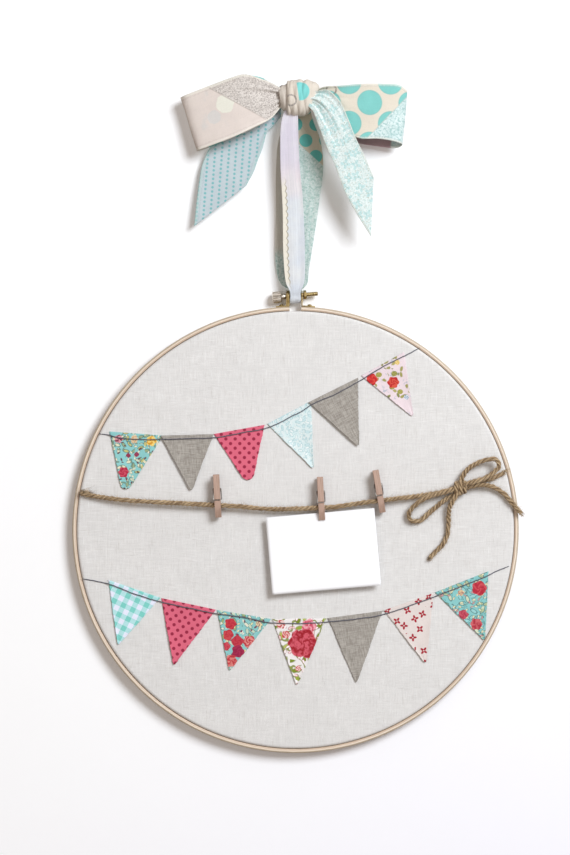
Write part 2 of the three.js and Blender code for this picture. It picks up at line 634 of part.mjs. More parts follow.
// The spring's wire: across the front lever, down its side into the coil, and out of
// the other end of the coil to the back lever.
function springPath() {
  const reach = jawGap / 2 + leverThickness + wireProud;
  const side = pinWidth / 2 + fitGap + wireDiameter / 2;
  const drop = wireCrossing - coilRise;
  const start = Math.atan2(drop, reach) + Math.acos(coilRadius / Math.hypot(reach, drop));
  const whole = coilTurns * 2 * Math.PI + Math.PI - 2 * start;
  const steps = Math.round((whole / (2 * Math.PI)) * wireSteps);
  const arm = [
    new THREE.Vector3(side - fitGap - wireDiameter, -reach, wireCrossing),
    new THREE.Vector3(wireDiameter - side, -reach, wireCrossing),
    new THREE.Vector3(-side, -reach, wireCrossing + wireDiameter),
  ];
  const coil = Array.from({ length: steps + 1 }, (_, i) => {
    const turn = start + (i / steps) * whole;
    const x = -side + (i / steps) * 2 * side;
    return new THREE.Vector3(x, -coilRadius * Math.cos(turn), coilRise + coilRadius * Math.sin(turn));
  });
  const otherArm = arm.map((p) => new THREE.Vector3(-p.x, -p.y, p.z)).reverse();
  return [...arm, ...coil, ...otherArm];
}

// A tube through the points themselves, its section carried along without twist.
function wire(points, radius, sides) {
  const along = points.map((p, i) => {
    const before = points[Math.max(i - 1, 0)];
    const after = points[Math.min(i + 1, points.length - 1)];
    return after.clone().sub(before).normalize();
  });
  let across = new THREE.Vector3(0, 1, 0);
  const rings = points.map((p, i) => {
    across = across.clone().addScaledVector(along[i], -across.dot(along[i])).normalize();
    const up = along[i].clone().cross(across);
    return Array.from({ length: sides }, (_, k) => {
      const turn = (k * 2 * Math.PI) / sides;
      return p.clone()
        .addScaledVector(across, radius * Math.cos(turn))
        .addScaledVector(up, radius * Math.sin(turn));
    });
  });
  return loft(rings);
}

// The least clear space between two turns, measured on points along the wire.
function leastGap(points, diameter) {
  const path = new THREE.CurvePath();
  points.slice(1).forEach((p, i) => path.add(new THREE.LineCurve3(points[i], p)));
  const fine = path.getSpacedPoints(gapSamples);
  const apart = Math.ceil((gapSkip * diameter) / (path.getLength() / gapSamples));
  let least = Infinity;
  for (let i = 0; i < fine.length; i += 1) {
    for (let j = i + apart; j < fine.length; j += 1) least = Math.min(least, fine[i].distanceTo(fine[j]));
  }
  return least - diameter;
}

function makePins() {
  const path = springPath();
  console.log(`least gap of a clothespin spring to itself: ${leastGap(path, wireDiameter).toFixed(2)} mm`);
  for (const { name, placeShares, lean } of pins) {
    const pin = new THREE.Group();
    pin.position.copy(onHoop(placeShares, jawPlane));
    pin.rotation.y = THREE.MathUtils.degToRad(-lean);
    hoop.add(pin);
    addPiece(pin, `${name}_pin_back_lever`, lever(1), finishes.pinWood);
    addPiece(pin, `${name}_pin_front_lever`, lever(-1), finishes.pinWood);
    addPiece(pin, `${name}_pin_spring`, wire(path, wireDiameter / 2, wireSides), finishes.steel);
  }
}

function makeCard() {
  const [, middle] = pins;
  const lean = THREE.MathUtils.degToRad(middle.lean);
  const card = new THREE.Group();
  card.position.copy(onHoop(middle.placeShares, jawPlane));
  card.position.x += Math.sin(lean) * (jawLength - cardBite);
  card.position.z -= Math.cos(lean) * (jawLength - cardBite);
  card.rotation.y = -cardTilt;
  hoop.add(card);
  const body = new THREE.BoxGeometry(cardWidth, cardThickness, cardHeight)
    .translate(cardWidth * cardShiftShare, 0, -cardHeight / 2);
  addPiece(card, 'note_card', closed(body), finishes.card);
}

function onRibbon([right, out, up]) {
  return new THREE.Vector3(right, -out, up).multiplyScalar(ribbonWidth);
}

// Cloth between two edges: rows across it, each with a back and a front skin. Folds
// run along it, as deep as foldDepth says at each share of its length.
function cloth({ left, right, thickness, rows, cells, folds, foldDepth }) {
  const edges = [left, right].map((points) => new THREE.CatmullRomCurve3(points, false, 'centripetal'));
  const point = (u, v) => edges[0].getPoint(u).lerp(edges[1].getPoint(u), v);
  const step = 1 / (2 * rows);
  const normal = (u, v) => {
    const alongCloth = point(Math.min(u + step, 1), v).sub(point(Math.max(u - step, 0), v));
    const acrossCloth = edges[1].getPoint(u).sub(edges[0].getPoint(u));
    return alongCloth.cross(acrossCloth).normalize();
  };
  const sections = Array.from({ length: rows + 1 }, (_, i) => {
    const u = i / rows;
    const half = thickness(u) / 2;
    const depth = foldDepth(u);
    const skin = (side) => Array.from({ length: cells + 1 }, (__, j) => {
      const v = j / cells;
      const round = Math.sqrt(THREE.MathUtils.lerp(1, hemShare ** 2, Math.abs(2 * v - 1) ** 3));
      const lift = depth * Math.sin(folds * 2 * Math.PI * v) + side * half * round;
      return point(u, v).addScaledVector(normal(u, v), lift);
    });
    return [...skin(1), ...skin(-1).reverse()];
  });
  return loft(sections);
}

function bowKnot(room) {
  const rings = bowKnotShares.map(([place, half, deep], i) => {
    const end = (i === 0 ? -room : 0) + (i === bowKnotShares.length - 1 ? room : 0);
    return Array.from({ length: bowKnotCells }, (_, k) => {
      const turn = (k * 2 * Math.PI) / bowKnotCells;
      const [c, s] = [Math.cos(turn), Math.sin(turn)];
      const [across, along] = [c, s].map((part) => Math.abs(part) ** bowKnotSquareness);
      const size = (across + along) ** (-1 / bowKnotSquareness);
      return new THREE.Vector3(
        place * ribbonWidth + end,
        -bowKnotOutShare * ribbonWidth - c * (deep * ribbonWidth * size + room),
        bowKnotRiseShare * ribbonWidth + s * (half * ribbonWidth * size + room),
      );
    });
  });
  return loft(rings);
}

// The strap's rows from the knot down the front, round the bolt and up the back.
function strap() {
  const straight = ([left, right, out, down, thick]) => {
    const [x0, x1, reach] = [left, right, out].map((share) => share * ribbonWidth);
    return {
      left: new THREE.Vector3(x0, -reach, -down * strapDrop),
      right: new THREE.Vector3(x1, -reach, -down * strapDrop),
      thick: thick * ribbonWidth,
    };
  };
  const bolt = new THREE.Vector3(0, -ringDepth / 2, -strapDrop);
  const waist = ([left, right, front, up, thick]) => {
    const place = bolt.clone().add(new THREE.Vector3(0, -front, up).multiplyScalar(lugDepth));
    return {
      left: place.clone().setX(left * earFace),
      right: place.clone().setX(right * earFace),
      thick: thick * strapRoom,
    };
  };
  const round = ([degrees, slack, half, thick]) => {
    const turn = THREE.MathUtils.degToRad(degrees);
    const reach = boltRadius + fitGap + (slack + thick / 2) * strapRoom;
    const away = new THREE.Vector3(0, -Math.cos(turn), -Math.sin(turn)).multiplyScalar(reach);
    const place = bolt.clone().add(away);
    return {
      left: place.clone().setX(-half * earFace),
      right: place.clone().setX(half * earFace),
      thick: thick * strapRoom,
    };
  };
  const rows = [
    ...frontStrandShares.map(straight),
    ...frontWaistShares.map(waist),
    ...strapTurnShares.map(round),
    ...backWaistShares.map(waist),
    ...backStrandShares.map(straight),
  ];
  const thickness = (u) => {
    const at = u * (rows.length - 1);
    const low = Math.min(Math.floor(at), rows.length - 2);
    return THREE.MathUtils.lerp(rows[low].thick, rows[low + 1].thick, at - low);
  };
  return cloth({
    left: rows.map((row) => row.left),
    right: rows.map((row) => row.right),
    thickness,
    rows: strapRows,
    cells: strapCells,
    folds: strapFolds,
    foldDepth: (u) => strapFold * Math.cos(Math.PI * u) ** 2,
  });
}

function makeRibbon() {
  const around = bowKnot(fitGap);
  const even = () => clothThickness;
  const bothEnds = (u) => gatherDepth * Math.cos(Math.PI * u) ** 6;
  const atKnot = (u) => gatherDepth * (1 - u) ** 3;
  const nearWall = (u) => wallGather * (1 - u) ** 2;
  addPiece(board, 'bow_knot', bowKnot(0), finishes.dots);
  addPiece(board, 'hanger_strap', besideKnot(strap(), around), finishes.ribbon);
  const addCloth = (name, edges, rows, foldDepth, material) => {
    const [left, right] = edges.map((shares) => shares.map(onRibbon));
    const piece = cloth({
      left,
      right,
      thickness: even,
      rows,
      cells: clothCells,
      folds: clothFolds,
      foldDepth,
    });
    addPiece(board, name, besideKnot(piece, around), material);
  };
  const leftLoop = [leftLoopTopShares, leftLoopBottomShares];
  const rightLoop = [rightLoopTopShares, rightLoopBottomShares];
  const leftTail = [leftTailUpperShares, leftTailLowerShares];
  const rightTail = [rightTailUpperShares, rightTailLowerShares];
  addCloth('bow_left_loop', leftLoop, loopRows, bothEnds, finishes.dots);
  addCloth('bow_right_loop', rightLoop, loopRows, bothEnds, finishes.dots);
  addCloth('bow_left_tail', leftTail, tailRows, nearWall, finishes.ribbon);
  addCloth('bow_right_tail', rightTail, tailRows, atKnot, finishes.ribbon);
}

makeHoop();
bunting('top', topThreadShares, topFlagShares, topFlagColours);
bunting('bottom', bottomThreadShares, bottomFlagShares, bottomFlagColours);
makeTwine();
makePins();
makeCard();
makeRibbon();

export default board;
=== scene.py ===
import math
from functools import partial

import bpy
import numpy as np
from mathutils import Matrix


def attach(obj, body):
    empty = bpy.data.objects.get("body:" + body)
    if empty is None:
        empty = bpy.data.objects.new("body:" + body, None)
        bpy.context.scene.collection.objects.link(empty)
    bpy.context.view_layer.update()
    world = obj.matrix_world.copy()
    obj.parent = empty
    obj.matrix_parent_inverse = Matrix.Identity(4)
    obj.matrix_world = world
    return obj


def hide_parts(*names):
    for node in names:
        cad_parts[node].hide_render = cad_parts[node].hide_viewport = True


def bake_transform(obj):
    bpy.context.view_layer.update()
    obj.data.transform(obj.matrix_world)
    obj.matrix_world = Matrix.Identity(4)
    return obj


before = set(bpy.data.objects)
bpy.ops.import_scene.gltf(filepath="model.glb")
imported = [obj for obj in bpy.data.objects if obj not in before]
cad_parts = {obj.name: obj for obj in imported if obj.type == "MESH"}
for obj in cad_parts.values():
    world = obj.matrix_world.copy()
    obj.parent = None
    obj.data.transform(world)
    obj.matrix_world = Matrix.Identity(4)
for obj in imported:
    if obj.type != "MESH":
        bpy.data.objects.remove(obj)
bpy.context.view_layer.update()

photo = {"metresPerPixel": 0.0007, "nailColumn": 295.5, "nailRow": 100.0}
fit = 0.0003  # clear space between two pieces that touch


def fromPhoto(column, row):  # a place in the picture as metres right of and above the nail
    right = (column - photo["nailColumn"]) * photo["metresPerPixel"]
    return (right, (photo["nailRow"] - row) * photo["metresPerPixel"])


def intoScene(made):
    bpy.context.scene.collection.objects.link(made)


# Camera
cameraView = {
    "centre": (-0.00735, -0.22925), "distance": 1.6, "frontOfBoard": 0.012,
    "frameHeight": 0.5985, "sensor": 36.0,
}


def makeCamera(view):
    lens = bpy.data.cameras.new("camera")
    lens.sensor_fit = "VERTICAL"
    lens.sensor_height = view["sensor"]
    lens.lens = view["sensor"] * view["distance"] / view["frameHeight"]
    holder = bpy.data.objects.new("camera", lens)
    x, z = view["centre"]
    holder.location = (x, -view["distance"] - view["frontOfBoard"], z)
    holder.rotation_euler = (math.pi / 2, 0, 0)
    intoScene(holder)
    bpy.context.scene.camera = holder


makeCamera(cameraView)
print("camera is in place")


# Curves and surfaces
def smoothCurve(points, steps):
    # Centripetal Catmull-Rom curve: between two points it is a cubic whose slopes come
    # from the neighbours, weighed by the square roots of the distances.
    given = np.asarray(points, float)
    p = np.vstack([2 * given[0] - given[1], given, 2 * given[-1] - given[-2]])
    place = np.linspace(0, len(given) - 1, steps + 1)
    low = np.minimum(place.astype(int), len(given) - 2)
    w = (place - low)[:, None]
    a, b, c, d = (p[low + k] for k in range(4))
    gaps = [np.linalg.norm(far - near, axis=1, keepdims=True) ** 0.5 for near,
            far in ((a, b), (b, c), (c, d))]
    first, middle, last = (np.maximum(gap, 1e-4) for gap in gaps)
    start = ((b - a) / first - (c - a) / (first + middle) + (c - b) / middle) * middle
    end = ((c - b) / middle - (d - b) / (middle + last) + (d - c) / last) * middle
    return b + start * w + (3 * (c - b) - 2 * start - end) * w**2 + (2 * (b - c) + start + end) * w**3


def runOf(path):  # distance along a path at each of its points
    return np.concatenate([[0], np.cumsum(np.linalg.norm(np.diff(path, axis=0), axis=1))])


def evenly(path, step):  # the same path in equal steps
    run = runOf(path)
    at = np.linspace(0, run[-1], max(int(round(run[-1] / step)), 2) + 1)
    return np.column_stack([np.interp(at, run, path[:, k]) for k in range(3)]), at


def stacked(*parts):  # the parts as the last axis, each spread over the others' shape
    return np.stack(np.broadcast_arrays(*parts), -1)


def leaned(x, y, z, degrees):  # turned in the wall's plane, its right end up
    turn = math.radians(degrees)
    return stacked(x * math.cos(turn) - z * math.sin(turn), y, x * math.sin(turn) + z * math.cos(turn))


def tubeUv(run, sides):  # distance along a tube, and the share round it
    return stacked(np.append(run, run[-1])[:, None], np.linspace(0, 1, sides + 1)[None])


def closedGrid(points):  # the same grid with its first column again and its last row again
    wide = np.concatenate([points, points[:, :1]], 1)
    return np.concatenate([wide, wide[-1:]], 0)


def arc(x, y, radius, start, stop, count):
    turn = np.linspace(start, stop, count)
    return np.column_stack([x + radius * np.cos(turn), y + radius * np.sin(turn)])


def wholeTurn(count):
    return np.linspace(0, 2 * np.pi, count, endpoint=False)


def unit(vectors):
    return vectors / np.maximum(np.linalg.norm(vectors, axis=-1, keepdims=True), 1e-12)


def smooth(value, low, high):  # 0 below low, 1 above high, a soft step between
    t = np.clip((value - low) / (high - low), 0, 1)
    return t * t * (3 - 2 * t)


def tubeRings(path, radius, across=(0.0, 1.0, 0.0), twist=0.0):
    # Each ring is its path point plus radius times (cos of the turn times the first side
    # direction + sin of the turn times the second), in the plane square to the path.
    along = unit(np.gradient(path, axis=0))
    side = unit(np.cross(along, np.broadcast_to(across, path.shape)))
    up = np.cross(side, along)
    radius = np.broadcast_to(radius, (len(path), np.shape(radius)[-1]))
    turn = wholeTurn(radius.shape[1])[None] + np.reshape(twist, (-1, 1))
    return path[:, None] + radius[..., None] * (
        np.cos(turn)[..., None] * side[:, None] + np.sin(turn)[..., None] * up[:, None])


def meshPiece(name, vertices, faces, corners=None, sharp=None):
    mesh = bpy.data.meshes.new(name)
    mesh.from_pydata(np.asarray(vertices).tolist(), [], faces)
    if corners is not None:
        layer = mesh.uv_layers.new(name="UVMap")
        layer.data.foreach_set("uv", np.asarray(corners, np.float32).ravel())
    mesh.polygons.foreach_set("use_smooth", np.ones(len(mesh.polygons), bool))
    if sharp is not None:
        mesh.set_sharp_from_angle(angle=math.radians(sharp))
    mesh.update()
    made = bpy.data.objects.new(name, mesh)
    intoScene(made)
    return made


def surface(name, points, uv=None, wrapRows=False, wrapCols=False, caps=False, sharp=None):
    # A grid of points as four-cornered faces: row i and column j join the next row and
    # column. Wrapped grids join their last row or column to the first, and a cap closes
    # the first and the last ring with one face each.
    rows, cols = points.shape[:2]
    if uv is None:
        i, j = np.meshgrid(np.arange(rows + 1), np.arange(cols + 1), indexing="ij")
        uv = np.stack([i / rows, j / cols], -1)
    i = np.arange(rows if wrapRows else rows - 1)[:, None]
    j = np.arange(cols if wrapCols else cols - 1)[None]
    nextI, nextJ = (i + 1) % rows, (j + 1) % cols
    quads = np.stack([i * cols + j, i * cols + nextJ, nextI * cols + nextJ, nextI * cols + j], -1)
    corners = np.stack([uv[i, j], uv[i, j + 1], uv[i + 1, j + 1], uv[i + 1, j]], 2).reshape(-1, 4, 2)
    quads = quads.reshape(-1, 4)
    flat = points.reshape(-1, 3)
    a, b, c, d = (flat[quads[:, k]] for k in range(4))
    volume = np.sum(a * np.cross(b, c)) + np.sum(a * np.cross(c, d))
    closed = wrapCols and (wrapRows or caps)
    if closed and caps:
        first, last = flat[:cols], flat[-cols:]
        volume -= np.sum(first[0] * np.cross(first, np.roll(first, -1, 0)).sum(0))
        volume += np.sum(last[0] * np.cross(last, np.roll(last, -1, 0)).sum(0))
    flip = closed and volume < 0
    if flip:
        quads, corners = quads[:, ::-1], corners[:, ::-1]
    faces, uvs = quads.tolist(), [corners.reshape(-1, 2)]
    if caps:
        ends = [np.arange(cols)[::-1], (rows - 1) * cols + np.arange(cols)]
        for end, row in zip(ends, (0, rows - 1)):
            ordered = end[::-1] if flip else end
            faces.append(ordered.tolist())
            uvs.append(uv[row, ordered - row * cols])
    return meshPiece(name, flat, faces, np.vstack(uvs), sharp)


def thicken(piece, thickness):
    solid = piece.modifiers.new("thickness", "SOLIDIFY")
    solid.thickness, solid.offset = thickness, 0.0


def place(piece, body, slotName, material, *nodes):
    piece.data.materials.clear()
    piece.data.materials.append(material)
    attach(piece, body)
    if nodes:
        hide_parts(*nodes)


# Node helpers
def tint(red, green, blue):  # picture values 0 to 255 as a linear colour
    shares = np.array([red, green, blue]) / 255
    linear = np.where(shares <= 0.04045, shares / 12.92, ((shares + 0.055) / 1.055) ** 2.4)
    return (float(linear[0]), float(linear[1]), float(linear[2]), 1.0)


trees = []  # the node tree that is being filled is the last one


def link(value, socket):
    trees[-1].links.new(value, socket)


def feed(socket, value):
    if isinstance(value, bpy.types.NodeSocket):
        link(value, socket)
    elif value is not None:
        socket.default_value = value


def put(kind, inputs=None, **settings):
    made = trees[-1].nodes.new("ShaderNode" + kind)
    for key, value in settings.items():
        setattr(made, key, value)
    for key, value in (inputs or {}).items():
        feed(made.inputs[key], value)
    return made


def calc(operation, *values):
    made = put("Math", operation=operation)
    for socket, value in zip(made.inputs, values):
        feed(socket, value)
    return made.outputs[0]


def vectorCalc(operation, first, second=None, scale=None):
    made = put("VectorMath", operation=operation)
    feed(made.inputs[0], first)
    feed(made.inputs[1], second)
    if scale is not None:
        feed(made.inputs["Scale"], scale)
    return made.outputs["Value" if operation in ("DOT_PRODUCT", "LENGTH") else "Vector"]


times, plus, minus = (partial(calc, operation) for operation in ("MULTIPLY", "ADD", "SUBTRACT"))
timesPlus, absolute, larger = (
    partial(calc, operation) for operation in ("MULTIPLY_ADD", "ABSOLUTE", "MAXIMUM"))
vectorTimes, vectorPlus, vectorMinus, lengthOf = (
    partial(vectorCalc, operation) for operation in ("MULTIPLY", "ADD", "SUBTRACT", "LENGTH"))


def split(vector):
    return put("SeparateXYZ", {"Vector": vector}).outputs


def inObject():
    return put("TexCoord").outputs["Object"]


def mixed(factor, first, second, way="MIX"):  # a colour of three numbers is a picture value
    made = put("Mix", data_type="RGBA", blend_type=way)
    feed(made.inputs[0], factor)
    for index, value in ((6, first), (7, second)):
        feed(made.inputs[index], tint(*value) if isinstance(value, tuple) else value)
    return made.outputs[2]


def remap(value, low, high, toLow=0.0, toHigh=1.0):
    made = put("MapRange", interpolation_type="SMOOTHSTEP")
    for index, given in enumerate((value, low, high, toLow, toHigh)):
        feed(made.inputs[index], given)
    return made.outputs[0]


def fade(value, low, high):  # 1 up to low, 0 from high on
    return remap(value, low, high, 1.0, 0.0)


def noise(vector, scale, detail=2.0, rough=0.5, out=0):
    made = put("TexNoise", {"Vector": vector, "Scale": scale, "Detail": detail, "Roughness": rough})
    return made.outputs[out]


def group(name, inputs, outputs):
    tree = bpy.data.node_groups.new(name, "ShaderNodeTree")
    kinds = {"v": "NodeSocketVector", "f": "NodeSocketFloat", "c": "NodeSocketColor"}
    for text, way in ((inputs, "INPUT"), (outputs, "OUTPUT")):
        for entry in text.split():
            label, kind = entry.split(":")
            tree.interface.new_socket(label, in_out=way, socket_type=kinds[kind])
    trees.append(tree)
    return tree.nodes.new("NodeGroupInput").outputs, tree.nodes.new("NodeGroupOutput").inputs


def use(made, **inputs):
    return put("Group", inputs, node_tree=made).outputs


def makeWeave():
    # Plain weave: warp and weft are |sin| ridges that take turns on top; slubs are noise
    # drawn out along each thread.
    given, result = group("weave", "Vector:v Threads:f Slub:f", "Shade:f Height:f")
    scaled = vectorCalc("SCALE", given["Vector"], scale=given["Threads"])
    parts = split(scaled)
    ridges = [absolute(calc("SINE", times(p, math.pi))) for p in parts[:2]]
    floors = [calc("FLOOR", p) for p in parts[:2]]
    over = calc("PINGPONG", plus(*floors), 1.0)
    warp = times(ridges[0], timesPlus(over, 0.5, 0.5))
    weft = times(ridges[1], timesPlus(over, -0.5, 1.0))
    height = larger(warp, weft)
    down = noise(vectorTimes(scaled, (0.55, 0.05, 0.0)), 1.0, 3.0, 0.7)
    across = noise(vectorTimes(scaled, (0.05, 0.55, 3.0)), 1.0, 3.0, 0.7)
    slubs = minus(plus(down, across), 1.0)
    # Painted shade: the low places between the threads are a little darker; the slubs are the threads' own
    # uneven tone.
    fine = timesPlus(height, 0.16, -0.08)
    shade = timesPlus(slubs, given["Slub"], 1.0)
    link(plus(shade, fine), result["Shade"])
    link(timesPlus(slubs, 0.8, height), result["Height"])
    return trees[-1]


def makeWood():
    # Grain: noise drawn out along the first axis, thin dark pores and a slow drift.
    given, result = group("grain", "Vector:v Fine:f", "Tone:f Height:f")
    scaled = vectorCalc("SCALE", given["Vector"], scale=given["Fine"])
    fibre = noise(vectorTimes(scaled, (0.03, 1.0, 1.0)), 1.0, 4.0, 0.6)
    pores = noise(vectorTimes(scaled, (0.09, 3.1, 3.1)), 1.0, 2.0, 0.5)
    drift = noise(vectorTimes(scaled, (0.012, 0.12, 0.12)), 1.0, 2.0, 0.5)
    dark = remap(pores, 0.6, 0.72)
    tone = plus(times(fibre, 0.6), times(drift, 0.4))
    link(minus(tone, times(dark, 0.3)), result["Tone"])
    link(minus(fibre, dark), result["Height"])
    return trees[-1]


def makeMottle():
    # Uneven dye and handling marks: two sizes of cloud around 1.
    given, result = group("mottle", "Vector:v Scale:f Amount:f", "Shade:f")
    broad = noise(given["Vector"], given["Scale"], 2.0)
    finer = noise(given["Vector"], times(given["Scale"], 4.3), 2.0)
    both = minus(plus(broad, finer), 1.0)
    link(timesPlus(both, given["Amount"], 1.0), result["Shade"])
    return trees[-1]


def makeDots():
    # Round spots on a lattice whose every second row is shifted by half a step.
    given, result = group("dots", "Vector:v Across:f Down:f Radius:f Soft:f", "Mask:f Distance:f")
    size = put("CombineXYZ", {"X": given["Across"], "Y": given["Down"], "Z": 1.0}).outputs[0]
    cell = vectorCalc("DIVIDE", given["Vector"], size)
    lengths = []
    for shift in ((0.5, 0.5, 0.0), (1.0, 1.0, 0.0)):
        inside = vectorCalc("FRACTION", vectorPlus(cell, shift))
        centred = vectorMinus(inside, (0.5, 0.5, 0.0))
        real = vectorTimes(vectorTimes(centred, size), (1.0, 1.0, 0.0))
        lengths.append(lengthOf(real))
    near = calc("MINIMUM", *lengths)
    edge = plus(given["Radius"], given["Soft"])
    link(fade(near, minus(given["Radius"], given["Soft"]), edge), result["Mask"])
    link(near, result["Distance"])
    return trees[-1]


def makeGingham():
    # Stripes both ways: 0 where neither runs, 1 where one does, 2 where they cross.
    given, result = group("gingham", "Vector:v Check:f", "Level:f")
    parts = split(given["Vector"])
    stripes = []
    for part in parts[:2]:
        phase = calc("PINGPONG", part, given["Check"])
        share = calc("DIVIDE", phase, given["Check"])
        stripes.append(remap(share, 0.44, 0.56))
    link(plus(*stripes), result["Level"])
    return trees[-1]


def makeBloom():
    # A round flower head: its edge is a circle with petal waves, and inside it petals
    # swirl about the centre as a sine of the angle and the distance.
    given, result = group("bloom", "Vector:v Centre:v Radius:f Petals:f", "Mask:f Petal:f")
    offset = vectorTimes(vectorMinus(given["Vector"], given["Centre"]), (1, 1, 0))
    parts = split(offset)
    angle = calc("ARCTAN2", parts[1], parts[0])
    wobble = noise(given["Vector"], 260.0, 2.0)
    share = calc("DIVIDE", lengthOf(offset), given["Radius"])
    petals = calc("COSINE", times(angle, given["Petals"]))
    reach = plus(timesPlus(petals, 0.07, 0.72), times(wobble, 0.42))
    link(fade(minus(share, reach), -0.05, 0.05), result["Mask"])
    swirl = timesPlus(share, 6.5, times(angle, 3.0))
    folded = calc("SINE", timesPlus(wobble, 15.0, swirl))
    link(timesPlus(folded, 0.5, 0.5), result["Petal"])
    return trees[-1]


def makeVines():
    # Winding lines where a noise passes its middle value.
    given, result = group("vines", "Vector:v Scale:f Width:f", "Line:f")
    field = noise(given["Vector"], given["Scale"], 1.0, 0.4)
    away = absolute(minus(field, 0.5))
    wide = times(given["Width"], 2.0)
    link(fade(away, given["Width"], wide), result["Line"])
    return trees[-1]


def makeLace():
    # Small rings and crumbs: bands at one distance from scattered points, over a fine noise.
    given, result = group("lace", "Vector:v Scale:f", "Mask:f")
    cells = put("TexVoronoi", {"Vector": given["Vector"], "Scale": given["Scale"]}).outputs["Distance"]
    ring = fade(absolute(minus(cells, 0.36)), 0.06, 0.14)
    crumbs = remap(noise(given["Vector"], times(given["Scale"], 2.2), 2.0), 0.5, 0.6)
    link(times(larger(ring, crumbs), timesPlus(crumbs, 0.45, 0.55)), result["Mask"])
    return trees[-1]


def makeSprigs():
    # Little leaves: in each scattered cell an ellipse, turned by the cell's own random
    # angle; a random share of the cells stays empty.
    given, result = group("sprigs", "Vector:v Scale:f Fill:f", "Leaf:f Outline:f Pick:f")
    cells = put("TexVoronoi", {"Vector": given["Vector"], "Scale": given["Scale"]}).outputs
    chance = split(cells["Color"])
    offset = vectorTimes(vectorMinus(given["Vector"], cells["Position"]), (1, 1, 0))
    turned = put("VectorRotate", {
        "Vector": offset, "Angle": times(chance[0], 6.283)}, rotation_type="Z_AXIS").outputs[0]
    stretched = vectorTimes(turned, (1.0, 2.1, 0.0))
    share = times(lengthOf(stretched), given["Scale"])
    present = calc("LESS_THAN", chance[1], given["Fill"])
    leaf = fade(share, 0.4, 0.5)
    outline = fade(absolute(minus(share, 0.52)), 0.05, 0.13)
    link(times(leaf, present), result["Leaf"])
    link(times(outline, present), result["Outline"])
    link(chance[2], result["Pick"])
    return trees[-1]


def makeFlorets():
    # Little four-petal heads on loosely even cells: each head's edge is a wave of the
    # angle, its middle is open, and each head is turned by its cell's random angle.
    given, result = group("florets", "Vector:v Scale:f Size:f Stray:f", "Mask:f")
    made = put("TexVoronoi", {"Vector": given["Vector"], "Scale": given["Scale"],
                              "Randomness": given["Stray"]})
    cells = made.outputs
    offset = vectorTimes(vectorMinus(given["Vector"], cells["Position"]), (1, 1, 0))
    parts = split(offset)
    turn = times(split(cells["Color"])[0], 6.283)
    angle = plus(calc("ARCTAN2", parts[1], parts[0]), turn)
    share = calc("DIVIDE", times(lengthOf(offset), given["Scale"]), given["Size"])
    reach = timesPlus(calc("COSINE", times(angle, 4.0)), 0.3, 0.68)
    head = fade(minus(share, reach), -0.1, 0.1)
    link(times(head, remap(share, 0.1, 0.24)), result["Mask"])
    return trees[-1]


def makeRawEdge():
    # The distance from a strip's nearer long edge: frayed within a wavering margin, with
    # a thin shaded line beside it.
    given, result = group("rawEdge", "Vector:v Width:f Margin:f", "Fray:f Line:f")
    offset = split(given["Vector"])[1]
    near = calc("MINIMUM", offset, minus(given["Width"], offset))
    waver = noise(vectorTimes(given["Vector"], (1500.0, 500.0, 1.0)), 1.0, 3.0, 0.7)
    limit = times(timesPlus(waver, 1.6, 0.2), given["Margin"])
    link(fade(minus(near, limit), -0.0002, 0.0002), result["Fray"])
    beside = absolute(minus(near, times(limit, 1.5)))
    link(fade(beside, 0.0001, 0.0004), result["Line"])
    return trees[-1]


weave, grain, mottle, dots = makeWeave(), makeWood(), makeMottle(), makeDots()
gingham, bloom, vines, lace = makeGingham(), makeBloom(), makeVines(), makeLace()
sprigs, rawEdge, florets = makeSprigs(), makeRawEdge(), makeFlorets()


def newMaterial(name, **constants):
    material = bpy.data.materials.new(name)
    material.use_nodes = True
    trees.append(material.node_tree)
    shader = trees[-1].nodes["Principled BSDF"]
    for key, value in constants.items():
        shader.inputs[key.replace("_", " ")].default_value = value
    return material, shader


def fromFront(turn=0.0, centre=(0.0, 0.0)):
    # Object coordinates seen from the front, X and Z, about a centre and turned in degrees.
    parts = split(inObject())
    flat = put("CombineXYZ", {"X": parts[0], "Y": parts[2]}).outputs[0]
    if not turn and centre == (0.0, 0.0):
        return flat
    moved = put("Mapping", {"Vector": flat, "Location": (-centre[0], -centre[1], 0.0)}).outputs[0]
    return put("Mapping", {"Vector": moved, "Rotation": (0, 0, -math.radians(turn))}).outputs[0]


def ownUv():
    return put("TexCoord").outputs["UV"]


def clouded(vector, scale, first, second):  # two colours in soft patches
    return mixed(noise(vector, scale), first, second)


def bump(shader, height, distance, strength=1.0):
    made = put("Bump", {"Height": height, "Distance": distance, "Strength": strength})
    link(made.outputs[0], shader.inputs["Normal"])


def cloth(name, paint, threads=2600.0, slub=0.12, relief=0.00006, turn=0.0, useUv=False, rough=0.88):
    # paint gives the printed colour at each place; the weave shades it and lifts it.
    material, shader = newMaterial(name, Roughness=rough, Sheen_Weight=0.12, Sheen_Roughness=0.5)
    vector = ownUv() if useUv else fromFront(turn)
    colour = paint(fromFront())
    threadsMade = use(weave, Vector=vector, Threads=threads, Slub=slub)
    worn = use(mottle, Vector=fromFront(), Scale=38.0, Amount=0.08)
    both = times(threadsMade["Shade"], worn["Shade"])
    shaded = mixed(1.0, colour, both, "MULTIPLY")
    link(shaded, shader.inputs["Base Color"])
    bump(shader, threadsMade["Height"], relief)
    return material


def sideOf(vector, start, end, soft=0.0003):
    # 1 on the left of the line from start to end, 0 on its right.
    a, b = np.array(fromPhoto(*start)), np.array(fromPhoto(*end))
    run = (b - a) / np.linalg.norm(b - a)
    across = (-run[1], run[0], 0.0)
    distance = vectorCalc("DOT_PRODUCT", vector, across)
    level = float(np.dot(a, across[:2]))
    return remap(distance, level - soft, level + soft), minus(distance, level)


